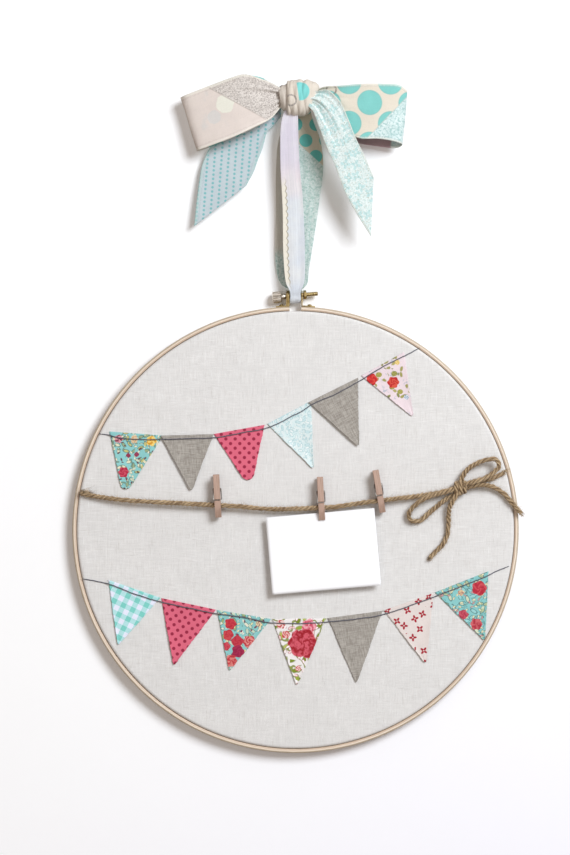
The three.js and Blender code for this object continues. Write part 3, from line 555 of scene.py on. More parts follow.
def blooms(vector, colour, spot, entries):
    # Each entry: place on the pennant, radius, petals, outer colour and inner colour.
    for (across, down), radius, petals, outer, inner in entries:
        centre = spot(across, down)
        made = use(bloom, Vector=vector, Centre=(*centre, 0), Radius=radius, Petals=petals)
        petal = mixed(made["Petal"], outer, inner)
        colour = mixed(made["Mask"], colour, petal)
    return colour


def foliage(vector, below, scale, fill, leaves, line, lineShare=0.8):
    # Scattered leaves, each of one of the given colours, with a thin drawn outline.
    made = use(sprigs, Vector=vector, Scale=scale, Fill=fill)
    stops = [(k / len(leaves), colour) for k, colour in enumerate(leaves)]
    colour = mixed(made["Leaf"], below, ramp(made["Pick"], stops, "CONSTANT"))
    return mixed(times(made["Outline"], lineShare), colour, line)


def ramp(value, stops, way="LINEAR"):  # the colours that stand at the given values
    made = put("ValToRGB", {"Fac": value})
    made.color_ramp.interpolation = way
    elements = made.color_ramp.elements
    for index, (stop, colour) in enumerate(stops):
        element = elements[index] if index < 2 else elements.new(stop)
        element.position, element.color = stop, tint(*colour)
    return made.outputs[0]


def fromPlace(vector, column, row):
    return vectorMinus(vector, (*fromPhoto(column, row), 0.0))


def spotted(vector, across, down, radius, soft):
    return use(dots, Vector=vector, Across=across, Down=down, Radius=radius, Soft=soft)


def turnedBy(vector, degrees):
    return put("Mapping", {"Vector": vector, "Rotation": (0, 0, math.radians(degrees))}).outputs[0]


# Stage and light
room = {
    "wall": (254, 254, 255), "corner": (246, 245, 252), "glow": 0.0, "size": 3.0, "middle": -0.22,
    "fade": (0.25, 0.75), "fadeAlong": (0.7, -1.0, 0.0),
    "world": (1.0, 0.9, 0.82), "worldStrength": 0.33, "backdrop": (0.97, 0.975, 0.98),
}
lamps = {
    "key": {"at": (1.1, -1.75, 0.75), "size": 1.04, "power": 52.0, "colour": (0.905, 0.953, 1.0)},
    "fill": {"at": (-0.6, -2.1, -0.5), "size": 1.8, "power": 6.2, "colour": (1.0, 0.93, 0.88)},
    "behind": {"at": (0.5, 1.6, 0.4), "size": 1.2, "power": 10.0, "colour": (1.0, 1.0, 1.0)},
}


lampsAimAt = (0.0, 0.0, -0.25)


def makeStage(values):
    half = values["size"] / 2
    low, high = values["middle"] - half, values["middle"] + half
    corners = [(-half, 0, low), (half, 0, low), (half, 0, high), (-half, 0, high)]
    wall = meshPiece("wall", corners, [[0, 1, 2, 3]])
    material, shader = newMaterial("wallPaint", Roughness=0.9, Specular_IOR_Level=0.1)
    speckle = use(mottle, Vector=fromFront(), Scale=30.0, Amount=0.01)
    # Painted shade: the wall turns darker and a little bluer towards its lower right.
    fall = vectorCalc("DOT_PRODUCT", fromFront(), values["fadeAlong"])
    paint = mixed(remap(fall, *values["fade"]), values["wall"], values["corner"])
    link(mixed(1.0, paint, speckle["Shade"], "MULTIPLY"), shader.inputs["Base Color"])
    link(paint, shader.inputs["Emission Color"])
    shader.inputs["Emission Strength"].default_value = values["glow"]
    path = put("LightPath").outputs
    seen = larger(path["Is Camera Ray"], path["Is Glossy Ray"])
    fromFrontSide = minus(1.0, put("NewGeometry").outputs["Backfacing"])
    shown = times(seen, fromFrontSide)
    clear = put("BsdfTransparent")
    choice = put("MixShader", {0: shown, 1: clear.outputs[0], 2: shader.outputs[0]})
    link(choice.outputs[0], trees[-1].nodes["Material Output"].inputs["Surface"])
    wall.data.materials.append(material)
    world = bpy.data.worlds.new("room")
    world.use_nodes = True
    trees.append(world.node_tree)
    back, seenBack = trees[-1].nodes["Background"], put("Background")
    back.inputs["Color"].default_value = (*values["world"], 1.0)
    back.inputs["Strength"].default_value = values["worldStrength"]
    seenBack.inputs["Color"].default_value = (*values["backdrop"], 1.0)
    chosen = put("MixShader", {
        0: put("LightPath").outputs["Is Camera Ray"], 1: back.outputs[0], 2: seenBack.outputs[0]})
    link(chosen.outputs[0], trees[-1].nodes["World Output"].inputs["Surface"])
    bpy.context.scene.world = world
    bpy.context.scene.view_settings.view_transform = "Standard"


def makeLamps(entries):
    for name, entry in entries.items():
        lamp = bpy.data.lights.new(name, "AREA")
        lamp.shape, lamp.size = "DISK", entry["size"]
        lamp.energy, lamp.color = entry["power"], entry["colour"]
        holder = bpy.data.objects.new(name, lamp)
        holder.location = entry["at"]
        toBoard = np.array(lampsAimAt) - np.array(entry["at"])
        flat = math.hypot(toBoard[0], toBoard[1])
        holder.rotation_euler = (math.atan2(flat, -toBoard[2]), 0, math.atan2(-toBoard[0], toBoard[1]))
        intoScene(holder)


makeStage(room)
makeLamps(lamps)
print("wall and lamps are in place")

# Hoop sizes that the other pieces share
hoop = {
    "drop": 0.301, "radius": 0.1524, "innerWall": 0.0033, "outerWall": 0.003, "depth": 0.01,
    "frontCorner": 0.0012, "backCorner": 0.0005, "split": 0.0084, "linen": 0.0006,
    "linenEnd": 0.001, "segments": 240,
}
linenFront = hoop["depth"] + fit + hoop["linen"]
flagStep = 0.0007
twineThickness = 0.0035
twineOnLinen = linenFront + fit + twineThickness / 2
jawPlane = 0.01625


def onHoop(shares, out):  # shares of the inner ring's radius from its centre, and distance from the wall
    places = np.atleast_2d(shares)
    reach = np.broadcast_to(out, len(places))
    return np.column_stack([places[:, 0] * hoop["radius"], -reach,
                            places[:, 1] * hoop["radius"] - hoop["drop"]])


# Twine
twine = {
    "ply": 0.000812, "plyOut": 0.000938, "turnLength": 0.0112, "ringStep": 0.00042, "sides": 24,
    "hairs": 7000, "hairLength": 0.0044, "hairWidth": 0.000055, "stubHairs": 300,
    "light": (206, 182, 146), "middle": (150, 121, 86), "dark": (78, 56, 34),
}
twineShares = {
    "twine_line": [
        [-0.9875, 0.17, 0], [-0.935, 0.158, 0.1], [-0.9, 0.152, 0.3], [-0.84, 0.144, 0.6],
        [-0.76, 0.136, 0.92], [-0.7, 0.1325, 1], [-0.66, 0.1304, 1], [-0.5, 0.122, 1], [-0.3, 0.1116, 1],
        [-0.26, 0.1095, 1], [-0.15, 0.099, 1], [-0.04, 0.0968, 1], [0, 0.0985, 1], [0.08, 0.1018, 1],
        [0.14, 0.1043, 1], [0.18, 0.107, 1], [0.26, 0.119, 1], [0.34, 0.1303, 1], [0.38, 0.1351, 1],
        [0.46, 0.1446, 1], [0.51, 0.1505, 1], [0.56, 0.157, 0.55], [0.61, 0.163, 0.15], [0.66, 0.172, 0],
        [0.71, 0.184, 0.05], [0.76, 0.195, 0.1],
    ],
    "twine_line_end": [
        [0.76, 0.208, 0], [0.79, 0.215, 0], [0.818, 0.2225, 0], [0.85, 0.2285, 0], [0.889, 0.2335, 0],
        [0.92, 0.245, 0], [0.948, 0.259, 0], [0.956, 0.266, 0],
    ],
    "twine_upper_loop": [
        [0.756, 0.2, 0.7], [0.764, 0.242, 0.9], [0.79, 0.28, 1.1], [0.832, 0.308, 1.3], [0.89, 0.326, 1.45],
        [0.92, 0.322, 1.5], [0.931, 0.294, 1.6], [0.91, 0.268, 1.75], [0.861, 0.237, 1.9],
        [0.82, 0.224, 1.9], [0.79, 0.216, 1.85], [0.765, 0.205, 1.5],
    ],
    "twine_lower_loop": [
        [0.745, 0.2, 0.9], [0.713, 0.185, 1.35], [0.65, 0.167, 1.5], [0.595, 0.148, 1.7], [0.55, 0.118, 1.3],
        [0.52, 0.075, 0.6], [0.53, 0.045, 0.3], [0.572, 0.044, 0.15], [0.614, 0.08, 0.15],
        [0.658, 0.116, 0.15], [0.7, 0.148, 0.15], [0.745, 0.165, 0.15],
    ],
    "twine_right_tail": [
        [0.76, 0.188, 0.6], [0.79, 0.198, 0.85], [0.825, 0.206, 0.97], [0.86, 0.208, 0.95], [0.902, 0.2, 0.6],
        [0.952, 0.171, 0.3], [0.994, 0.125, 0.15], [1.036, 0.076, 0.1],
    ],
    "twine_hanging_tail": [
        [0.75, 0.18, 1.25], [0.735, 0.158, 1.45], [0.72, 0.134, 1.4], [0.706, 0.105, 1], [0.702, 0.06, 0.5],
        [0.702, 0.027, 0.2], [0.696, -0.022, 0.05], [0.677, -0.065, 0], [0.643, -0.1, 0], [0.618, -0.128, 0],
    ],
}
twineKnot = {"at": (0.7556, 0.1952), "wide": 0.0126, "high": 0.0112, "deep": 0.0092, "wraps": 2.6,
             "lean": 14.0}


def makeTwineMaterial(values):
    material, shader = newMaterial("jute", Roughness=0.95, Sheen_Weight=0.2)
    parts = split(ownUv())
    lobe = calc("PINGPONG", times(parts[1], 6.0), 1.0)
    slanted = put("CombineXYZ", {
        "X": timesPlus(parts[1], values["turnLength"], parts[0]),
        "Y": times(parts[1], 0.011),
    }).outputs[0]
    fibres = noise(vectorTimes(slanted, (240.0, 4200.0, 1.0)), 1.0, 4.0, 0.7)
    broad = noise(slanted, 150.0, 3.0, 0.6)
    tone = plus(times(fibres, 0.9), times(broad, 0.6))
    lit = mixed(remap(tone, 0.62, 0.95), values["middle"], values["light"])
    spoiled = mixed(remap(tone, 0.56, 0.74, 0.75, 0.0), lit, values["dark"])
    # Painted shade: the grooves between the three plies are darkened.
    deep = remap(lobe, 0.45, 1.0, 0.0, 1.0)
    colour = mixed(times(deep, 0.6), spoiled, values["dark"])
    link(colour, shader.inputs["Base Color"])
    bump(shader, fibres, 0.00022)
    return material


def plyRadius(values):
    # Outline of three touching round plies: from the middle of the twine, a ply's far edge
    # is e cos(a) + sqrt(p^2 - e^2 sin^2(a)), a being the angle from that ply's own middle.
    turn = wholeTurn(values["sides"])
    a = (turn + np.pi / 3) % (2 * np.pi / 3) - np.pi / 3
    inside = np.maximum(values["ply"] ** 2 - (values["plyOut"] * np.sin(a)) ** 2, 0)
    return values["plyOut"] * np.cos(a) + np.sqrt(inside)


def plied(name, route, values, size=1.0):
    path, run = evenly(route, values["ringStep"])
    ply = np.floor(np.arange(values["sides"]) * 3 / values["sides"] + 0.5) % 3
    waves = np.sin(run[:, None] * (231 + 83 * ply[None]) + 2 * ply[None])
    loose = 1 + 0.05 * waves + 0.04 * np.sin(run * 71 + 2)[:, None]
    radius = plyRadius(values)[None] * size * np.minimum(loose, 1.07)
    uneven = run + 0.0026 * np.sin(run * 83) + 0.0009 * np.sin(run * 250 + 2)
    rings = tubeRings(path, radius, twist=uneven * 2 * np.pi / values["turnLength"])
    made = surface(name, rings, tubeUv(run, values["sides"]), wrapCols=True, caps=True)
    return made, path, run


def twineRoute(shares):
    points = np.asarray(shares)
    return smoothCurve(onHoop(points[:, :2], twineOnLinen + points[:, 2] * (jawPlane - twineOnLinen)), 900)


def hairMesh(name, base, heading, bend, length, width, nearest):
    # Each hair is a thin three-sided spike: base + length (heading t + bend t^2), t from
    # 0 to 1, thinner towards its end, and never nearer to the wall than nearest.
    t = np.linspace(0, 1, 4)[None, :, None]
    spine = base[:, None] + length[:, None] * (heading[:, None] * t + bend[:, None] * t**2)
    spine[..., 1] = np.minimum(spine[..., 1], -nearest)
    side = unit(np.cross(heading, bend))[:, None]
    other = unit(np.cross(heading[:, None], side))
    turn = np.arange(3) * 2 * np.pi / 3
    thin = width * (1 - 0.7 * t)
    rings = np.stack([spine + thin * (math.cos(a) * side + math.sin(a) * other) for a in turn], 2)
    first = (np.arange(len(base)) * 12)[:, None]
    edges = np.array([[0, 1], [1, 2], [2, 0]])
    quad = np.concatenate([edges, edges[:, ::-1] + 3], 1)
    quads = (first[:, None, None] + (np.arange(3) * 3)[None, :, None, None] + quad[None, None]).reshape(-1, 4)
    lids = (first + np.array([[2, 1, 0]])).reshape(-1, 3)
    tips = (first + np.array([[9, 10, 11]])).reshape(-1, 3)
    faces = quads.tolist() + lids.tolist() + tips.tolist()
    uv = np.concatenate([np.broadcast_to(rings.reshape(-1, 3)[part.ravel()][:, [0, 2]], (part.size, 2))
                         for part in (quads, lids, tips)])
    return meshPiece(name, rings.reshape(-1, 3), faces, uv)


def twineFuzz(paths, values, seed):
    # Hairs leave random places on the twine, square to it and leaning along it.
    draw = np.random.default_rng(seed)
    allPoints = np.vstack(paths)
    allAlong = np.vstack([unit(np.gradient(p, axis=0)) for p in paths])
    pick = draw.integers(0, len(allPoints), values["hairs"])
    start, along = allPoints[pick], allAlong[pick]
    outwards = unit(np.cross(along, unit(draw.normal(size=start.shape))))
    length = values["hairLength"] * draw.uniform(0.3, 1.0, (len(pick), 1)) ** 1.5
    heading = 0.55 * outwards + along * draw.uniform(-1, 1, (len(pick), 1))
    bend = 0.45 * unit(draw.normal(size=start.shape))
    return hairMesh("twineFuzz", start + outwards * 0.0013, heading, bend, length, values["hairWidth"],
                    linenFront + 0.0001)


def frayedEnds(values, seed):
    # Loose fibres at the twine's cut ends, each bunch spreading about its own direction.
    draw = np.random.default_rng(seed)
    ends = [((-0.985, 0.176), (0.9, 0.02), 0.0095, 0.25), ((-0.984, 0.168), (0.86, -0.16), 0.011, 0.2),
            ((0.956, 0.266), (0.9, 0.45), 0.0035, 0.8), ((1.036, 0.076), (0.6, -0.8), 0.0022, 0.7),
            ((0.618, -0.128), (-0.6, -0.75), 0.0024, 0.8)]
    share = values["stubHairs"] // len(ends)
    base, heading, length = [], [], []
    for cut, direction, reach, spread in ends:
        at = onHoop(cut, twineOnLinen)[0]
        base.append(at + draw.normal(size=(share, 3)) * 0.0007)
        aim = np.array([direction[0], -0.08, direction[1]])
        heading.append(aim + draw.normal(size=(share, 3)) * spread * 0.4)
        length.append(draw.uniform(0.4, 1.0, (share, 1)) * reach)
    base, heading, length = np.vstack(base), np.vstack(heading), np.vstack(length)
    bend = 0.3 * unit(draw.normal(size=base.shape))
    return hairMesh("twineFray", base, heading, bend, length, values["hairWidth"] * 1.7, linenFront + 0.0001)


jute = makeTwineMaterial(twine)
twinePaths = {}
for name, shares in twineShares.items():
    made, path, run = plied(name.replace("_", ""), twineRoute(shares), twine)
    twinePaths[name] = path
    place(made, "hoop", "twine", jute, name)


def makeTwineKnot(values):
    # Wraps of the same twine: an elliptic helix about the line of the twine.
    centre = onHoop(values["at"], linenFront + fit + values["deep"] / 2)[0]
    half = (values["wide"] - twineThickness) / 2
    t = np.linspace(-1, 1, 700)
    turn = t * math.pi * values["wraps"]
    pull = np.sqrt(np.clip(1 - 0.55 * t**2, 0, 1))
    x = half * 0.86 * t
    y = -(values["deep"] - twineThickness) / 2 * np.cos(turn) * pull
    z = (values["high"] - twineThickness) / 2 * np.sin(turn) * pull
    route = leaned(x, y, z, values["lean"])
    made, _, _ = plied("twineKnot", route + centre, {**twine, "ringStep": 0.0003}, 0.96)
    place(made, "hoop", "twine", jute, "twine_knot")


makeTwineKnot(twineKnot)
place(twineFuzz(list(twinePaths.values()), twine, 7), "hoop", "twine", jute)
place(frayedEnds(twine, 11), "hoop", "twine", jute)
print("twine is laid")

# Sewing threads
stitching = {
    "diameter": 0.0008, "sides": 12, "twistLength": 0.0021, "ringStep": 0.0003, "stitch": 0.0026,
    "dip": 0.00018, "waver": 0.00011, "ends": 0.0012, "colour": (66, 66, 76), "light": (122, 122, 134),
}
threadShares = {
    "top": [
        [-0.888, 0.44], [-0.86, 0.436], [-0.8, 0.422], [-0.716, 0.416], [-0.59, 0.417], [-0.449, 0.421],
        [-0.372, 0.424], [-0.308, 0.434], [-0.238, 0.448], [-0.14, 0.466], [-0.076, 0.491], [-0.025, 0.519],
        [0.02, 0.54], [0.08, 0.579], [0.186, 0.625], [0.305, 0.691], [0.396, 0.747], [0.495, 0.797],
        [0.556, 0.828],
    ],
    "bottom": [
        [-0.965, -0.227], [-0.862, -0.247], [-0.738, -0.294], [-0.627, -0.328], [-0.496, -0.357],
        [-0.371, -0.383], [-0.239, -0.401], [-0.115, -0.426], [-0.025, -0.429], [0.016, -0.43],
        [0.14, -0.423], [0.27, -0.41], [0.396, -0.39], [0.561, -0.335], [0.707, -0.28], [0.883, -0.21],
        [0.934, -0.185], [0.966, -0.172],
    ],
}
# Each pennant: its ends as shares of the thread, its point as shares of the radius, 1
# where it lies over its neighbour, and the width of its blunt point.
flagShares = {
    "top": [
        ([0.021, 0.182], [-0.782, 0.188], 0, 0.0052), ([0.175, 0.334], [-0.478, 0.185], 1, 0.0012),
        ([0.336, 0.49], [-0.214, 0.231], 0, 0.006), ([0.501, 0.65], [0.08, 0.287], 0, 0.0012),
        ([0.64, 0.806], [0.288, 0.389], 1, 0.0012), ([0.817, 0.965], [0.537, 0.526], 0, 0.0012),
    ],
    "bottom": [
        ([0.05, 0.177], [-0.814, -0.525], 0, 0.001), ([0.18, 0.309], [-0.558, -0.617], 0, 0.001),
        ([0.311, 0.438], [-0.302, -0.643], 0, 0.001), ([0.441, 0.567], [0.007, -0.708], 0, 0.0014),
        ([0.57, 0.698], [0.28, -0.698], 0, 0.001), ([0.702, 0.824], [0.597, -0.606], 0, 0.0016),
        ([0.827, 0.96], [0.868, -0.503], 0, 0.001),
    ],
}


def makeThreadMaterial(values):
    material, shader = newMaterial("sewingThread", Roughness=0.7, Sheen_Weight=0.2)
    vector = vectorTimes(ownUv(), (3000.0, 9.0, 1.0))
    fibres = noise(vector, 1.0, 2.0)
    link(mixed(remap(fibres, 0.4, 0.7), values["colour"], values["light"]), shader.inputs["Base Color"])
    bump(shader, fibres, 0.00005)
    return material


def makeThread(row, values, material):
    # The thread lies on the linen and rises over each pennant, and dips at each stitch.
    route = smoothCurve(onHoop(threadShares[row], 0.0), 1500)
    path, run = evenly(route, values["ringStep"])
    share = run / run[-1]
    path[:, 2] += values["waver"] * (np.sin(run * 420) * np.sin(run * 97 + 1) + 0.5 * np.sin(run * 1300))
    before, after = unit(np.array([path[0] - path[12], path[-1] - path[-13]])) * values["ends"]
    path = np.vstack([path[0] + before * 2, path[0] + before, path, path[-1] + after, path[-1] + after * 2])
    share = np.concatenate([[0, 0], share, [1, 1]])
    run = runOf(path)
    rise = np.zeros(len(path))
    for (start, end), _, over, _ in flagShares[row]:
        inside = smooth(share, start - 0.006, start + 0.004) * (1 - smooth(share, end - 0.004, end + 0.006))
        rise = np.maximum(rise, inside * (over + 1) * flagStep)
    stitch = np.abs(np.cos(run * math.pi / values["stitch"])) ** 24
    path[:, 1] = -(linenFront + values["diameter"] / 2 + rise - values["dip"] * stitch)
    lobes = 1 + 0.16 * np.cos(2 * wholeTurn(values["sides"]))
    radius = values["diameter"] / 2 * lobes[None] / 1.16
    rings = tubeRings(path, radius, twist=run * 2 * np.pi / values["twistLength"])
    made = surface(row + "Thread", rings, tubeUv(run, values["sides"]), wrapCols=True, caps=True)
    place(made, "hoop", "thread", material, row + "_thread")
    return route


sewingThread = makeThreadMaterial(stitching)
threadRoutes = {row: makeThread(row, stitching, sewingThread) for row in threadShares}
print("threads are sewn")

# Wooden rings
woodLook = {
    "light": (246, 232, 215), "dark": (227, 209, 187), "pore": (176, 146, 112), "fine": 900.0,
    # The two edge colours are painted shade for the outer ring's front edges.
    "outerEdgeShade": (172, 154, 130), "innerEdgeShade": (200, 176, 154), "edgeWidth": 0.0012,
}


def paintedEdgeShade(colour, look, inside, outside):
    # Painted shade on the outer ring's two front edges, by the distance from the hoop's axis.
    whole = inObject()
    fromAxis = vectorTimes(vectorPlus(whole, (0, 0, hoop["drop"])), (1, 0, 1))
    reach = lengthOf(fromAxis)
    edgeJitter = timesPlus(noise(whole, 160.0, 3.0), 0.0006, -0.0003)
    reach = plus(reach, edgeJitter)
    width, soft = look["edgeWidth"], 0.00025
    outer = remap(reach, outside - width - soft, outside - width + soft)
    inner = fade(reach, inside + width - soft, inside + width + soft)
    # Painted shade: darker over the rounded outer edge, darker still in the crease at the inner edge.
    darker = mixed(times(outer, 0.8), colour, look["outerEdgeShade"])
    return mixed(times(inner, 0.85), darker, look["innerEdgeShade"])


def makeWoodMaterial(name, look, rough=0.5, ring=None):
    material, shader = newMaterial(name, Roughness=rough, Coat_Weight=0.08, Coat_Roughness=0.4)
    made = use(grain, Vector=ownUv(), Fine=look["fine"])
    worn = use(mottle, Vector=fromFront(), Scale=22.0, Amount=0.12)
    colour = mixed(remap(made["Tone"], 0.3, 0.62), look["dark"], look["light"])
    pored = mixed(remap(made["Tone"], 0.3, 0.12), colour, look["pore"])
    shaded = mixed(1.0, pored, worn["Shade"], "MULTIPLY")
    link(paintedEdgeShade(shaded, look, *ring) if ring else shaded, shader.inputs["Base Color"])
    bump(shader, made["Height"], 0.00006)
    return material


def ringProfile(inside, outside, values):
    # A rectangle of radius and depth whose four corners are quarter circles.
    front, back, depth = values["frontCorner"], values["backCorner"], values["depth"]
    corners = ((outside - front, front - depth, front, -0.5), (outside - back, -back, back, 0.0),
               (inside + back, -back, back, 0.5), (inside + front, front - depth, front, 1.0))
    return np.vstack([
        arc(r, y, size, start * np.pi, (start + 0.5) * np.pi, 7) for r, y, size, start in corners])


def makeRing(name, inside, outside, values, gap, material, node):
    profile = ringProfile(inside, outside, values)
    opening = math.asin(gap / 2 / outside) if gap else 0.0
    turn = np.linspace(opening, 2 * np.pi - opening, values["segments"] + 1)[:, None]
    if not gap:
        turn = turn[:-1]
    radius, depth = profile[None, :, 0], profile[None, :, 1]
    points = stacked(radius * np.sin(turn), depth, radius * np.cos(turn) - values["drop"])
    around = np.append(runOf(np.column_stack([profile, profile[:, 0] * 0])), 0.027)
    along = np.append(turn[:, 0], 2 * np.pi - opening) * outside
    uv = stacked(along[:, None], around[None])
    made = surface(name, points, uv, wrapRows=not gap, wrapCols=True, caps=bool(gap), sharp=50)
    place(made, "hoop", "hoop_wood", material, node)


outerInside = hoop["radius"] + 2 * fit + hoop["linen"]
outerRadius = outerInside + hoop["outerWall"]
makeRing("innerRing", hoop["radius"] - hoop["innerWall"], hoop["radius"], hoop, 0.0,
         makeWoodMaterial("innerWood", woodLook), "inner_hoop")
makeRing("outerRing", outerInside, outerRadius, hoop, hoop["split"],
         makeWoodMaterial("outerWood", woodLook, ring=(outerInside, outerRadius)), "outer_hoop")

# Linen
linenLook = {
    "colour": (224, 222, 220), "shadow": (200, 195, 190), "pale": (238, 237, 236), "threads": 1500.0,
    "rows": 70,
}


def paintLinen(vector):
    colour = linenLook["colour"]
    for key, seed, amount in (("shadow", 0.0, 0.6), ("pale", 5.0, 0.8)):
        thick = noise(vectorTimes(vector, (1150.0, 75.0 + seed, 1.0)), 1.0, 3.0, 0.7)
        wide = noise(vectorTimes(vector, (75.0 + seed, 1150.0, 1.0)), 1.0, 3.0, 0.7)
        streak = remap(larger(thick, wide), 0.54, 0.74)
        colour = mixed(times(streak, amount), colour, linenLook[key])
    return colour


def makeLinen(values):
    # The face, a quarter circle over the inner ring's edge, and the band between the
    # rings, turned about the hoop's axis; the face has shallow waves.
    skin = hoop["linen"] / 2
    bend = hoop["frontCorner"] + fit + skin
    turnR, turnY = hoop["radius"] - hoop["frontCorner"], -hoop["depth"] + hoop["frontCorner"]
    face = np.column_stack([np.linspace(0.0004, turnR, values["rows"]),
                            np.full(values["rows"], turnY - bend)])
    quarter = np.linspace(-0.5, 0, 9)[1:] * np.pi
    bent = np.column_stack([turnR + bend * np.cos(quarter), turnY + bend * np.sin(quarter)])
    band = np.column_stack([np.full(6, turnR + bend), np.linspace(turnY, -hoop["linenEnd"], 7)[1:]])
    profile = np.vstack([face, bent, band])
    turn = wholeTurn(hoop["segments"])[None]
    radius, depth = profile[:, :1], profile[:, 1:]
    x, z = radius * np.sin(turn), radius * np.cos(turn)
    fall = smooth(radius, turnR, turnR * 0.9)
    waves = (np.sin(x * 75 + 1) * np.sin(z * 61) + 0.6 * np.sin(x * 151 + z * 133)) * 0.00007 * fall
    points = np.stack([x, np.broadcast_to(depth, x.shape) + np.maximum(waves, -0.0001), z - hoop["drop"]], -1)
    made = surface("linen", points, closedGrid(points)[..., [0, 2]], wrapCols=True)
    thicken(made, hoop["linen"])
    material = cloth("linenCloth", paintLinen, threads=values["threads"], slub=0.2, relief=0.00012)
    place(made, "hoop", "linen", material, "linen_panel")


makeLinen(linenLook)
print("hoop is made")

# Clamp
clamp = {
    "height": 0.1645, "tilt": 5.0, "boltRadius": 0.0015, "boltReach": 0.0158, "pitch": 0.0005,
    "threadDepth": 0.00013, "knobRadius": 0.004, "knobLength": 0.0066, "knobTeeth": 18, "knurl": 0.00035,
    "neckRadius": 0.0021, "neckLength": 0.0026, "earFace": 0.0042, "foldedEar": 0.0024, "ear": 0.0008,
    "nutAcross": 0.0055, "nutLength": 0.0022, "nutSeat": 0.00025, "sides": 72,
}


def inClamp(points):  # the bolt's own X axis, tilted with its right end up, set on the hoop
    return leaned(*np.moveaxis(points, -1, 0), clamp["tilt"]) + [
        0, -hoop["depth"] / 2, clamp["height"] - hoop["drop"]]


def makeMetal(name, colour, second, rough, metal=1.0, changeAt=None):
    material, shader = newMaterial(name, Metallic=metal)
    whole = inObject()
    cloud = noise(whole, 420.0, 3.0)
    first = colour
    if changeAt is not None:
        x = split(whole)[0]
        first = mixed(remap(x, changeAt - 0.0004, changeAt + 0.0004), first, second)
        dulled = mixed(times(cloud, 0.2), first, (120, 100, 70))
    else:
        dulled = mixed(remap(cloud, 0.4, 0.7), first, second)
    link(dulled, shader.inputs["Base Color"])
    link(remap(cloud, 0.3, 0.75, rough, rough + 0.22), shader.inputs["Roughness"])
    bump(shader, noise(whole, 2600.0, 2.0), 0.00001)
    return material


def makeScrew(values):
    # One turned surface: the radius is the profile's own, less the knurl's teeth on the
    # knob and less a helical ridge on the shank.
    end = -(values["earFace"] + values["foldedEar"] + fit + values["nutSeat"])
    neck = end - values["neckLength"]
    head = neck - values["knobLength"]
    k, n, b = values["knobRadius"], values["neckRadius"], values["boltRadius"]
    shank = np.arange(end + 0.00005, values["boltReach"] - 0.0004, values["pitch"] / 8)
    headRows = [
        [head, k * 0.3, 0], [head, k * 0.78, 0], [head + 0.0001, k * 0.84, 0.1], [head + 0.0006, k, 1],
        [head + 0.0012, k, 1], [neck - 0.0012, k, 1], [neck - 0.0006, k, 1],
        [neck - 0.0001, k * 0.84, 0.1], [neck, k * 0.76, 0], [neck, n * 1.05, 0],
        [neck + 0.0003, n * 0.9, 0], [end - 0.0002, n * 0.9, 0], [end, n * 0.86, 0], [end, b, 0],
    ]
    shape = np.vstack([headRows, np.column_stack([shank, shank * 0 + b, shank * 0 - 1]),
                       [[values["boltReach"] - 0.00025, b * 0.92, 0], [values["boltReach"], b * 0.7, 0]]])
    turn = wholeTurn(values["sides"])[None]
    teeth = np.abs((turn * values["knobTeeth"] / (2 * np.pi)) % 1 - 0.5) * 2
    helix = np.abs((shape[:, :1] / values["pitch"] - turn / (2 * np.pi)) % 1 - 0.5) * 2
    kind = shape[:, 2:]
    radius = shape[:, 1:2] - np.maximum(kind, 0) * values["knurl"] * teeth
    radius = radius - np.where(kind < 0, values["threadDepth"] * helix, 0)
    points = stacked(shape[:, :1], radius * np.cos(turn), radius * np.sin(turn))
    made = surface("clampScrew", inClamp(points), wrapCols=True, caps=True, sharp=35)
    nickel = makeMetal("screwMetal", (228, 220, 210), (178, 156, 108), 0.26, changeAt=0.0)
    place(made, "screw", "screw_nickel", nickel, "clamp_screw")


def makeNut(values):
    # A hexagon whose ends are chamfered to its inner circle, with a round hole.
    start = values["earFace"] + values["ear"] + fit + values["nutSeat"]
    stop = start + values["nutLength"]
    flat = values["nutAcross"] / 2
    turn = wholeTurn(values["sides"])[None]
    hexagon = flat / np.cos((turn + np.pi / 6) % (np.pi / 3) - np.pi / 6)
    bevel = 0.00045
    hole = values["boltRadius"] + 0.00004
    rows = [(start + 0.0002, hole, 0), (start, hole + 0.00025, 0), (start, flat * 0.98, 0),
            (start + bevel * 0.4, None, 0.55), (start + bevel, None, 1), (stop - bevel, None, 1),
            (stop - bevel * 0.4, None, 0.55), (stop, flat * 0.98, 0), (stop, hole + 0.00025, 0),
            (stop - 0.0002, hole, 0)]
    radius = np.vstack([
        np.full_like(turn, r) if r is not None else flat + (hexagon - flat) * share for _, r, share in rows])
    x = np.array([row[0] for row in rows])[:, None]
    points = stacked(x, radius * np.cos(turn), radius * np.sin(turn))
    made = surface("clampNut", inClamp(points), wrapRows=True, wrapCols=True, sharp=35)
    place(made, "nut", "clamp_brass", brass, "clamp_nut")


def bevelled(name, node, body, width, material, slotName):
    # A copy of the solid, its doubled corners merged and its edges rounded.
    mesh = bpy.data.objects[node].data.copy()
    made = bpy.data.objects.new(name, mesh)
    intoScene(made)
    weld = made.modifiers.new("weld", "WELD")
    weld.merge_threshold = 0.000002
    bevels = made.modifiers.new("edges", "BEVEL")
    bevels.width, bevels.segments, bevels.limit_method = width, 3, "ANGLE"
    bevels.angle_limit = math.radians(38)
    bevels.use_clamp_overlap = True
    mesh.polygons.foreach_set("use_smooth", np.ones(len(mesh.polygons), bool))
    mesh.set_sharp_from_angle(angle=math.radians(60))
    place(made, body, slotName, material, node)


brass = makeMetal("clampBrass", (178, 156, 108), (132, 110, 70), 0.34)
makeScrew(clamp)
makeNut(clamp)
for side in ("left", "right"):
    bevelled(side + "Lug", side + "_lug", "hoop", 0.00018, brass, "clamp_brass")
    bevelled(side + "Rivet", side + "_rivet", "hoop", 0.0001, brass, "clamp_brass")
print("clamp is made")

# Pennants
pennant = {"header": 0.0026, "thickness": 0.00034, "rows": 46, "cells": 30, "edge": 0.00022, "lift": 0.0007}


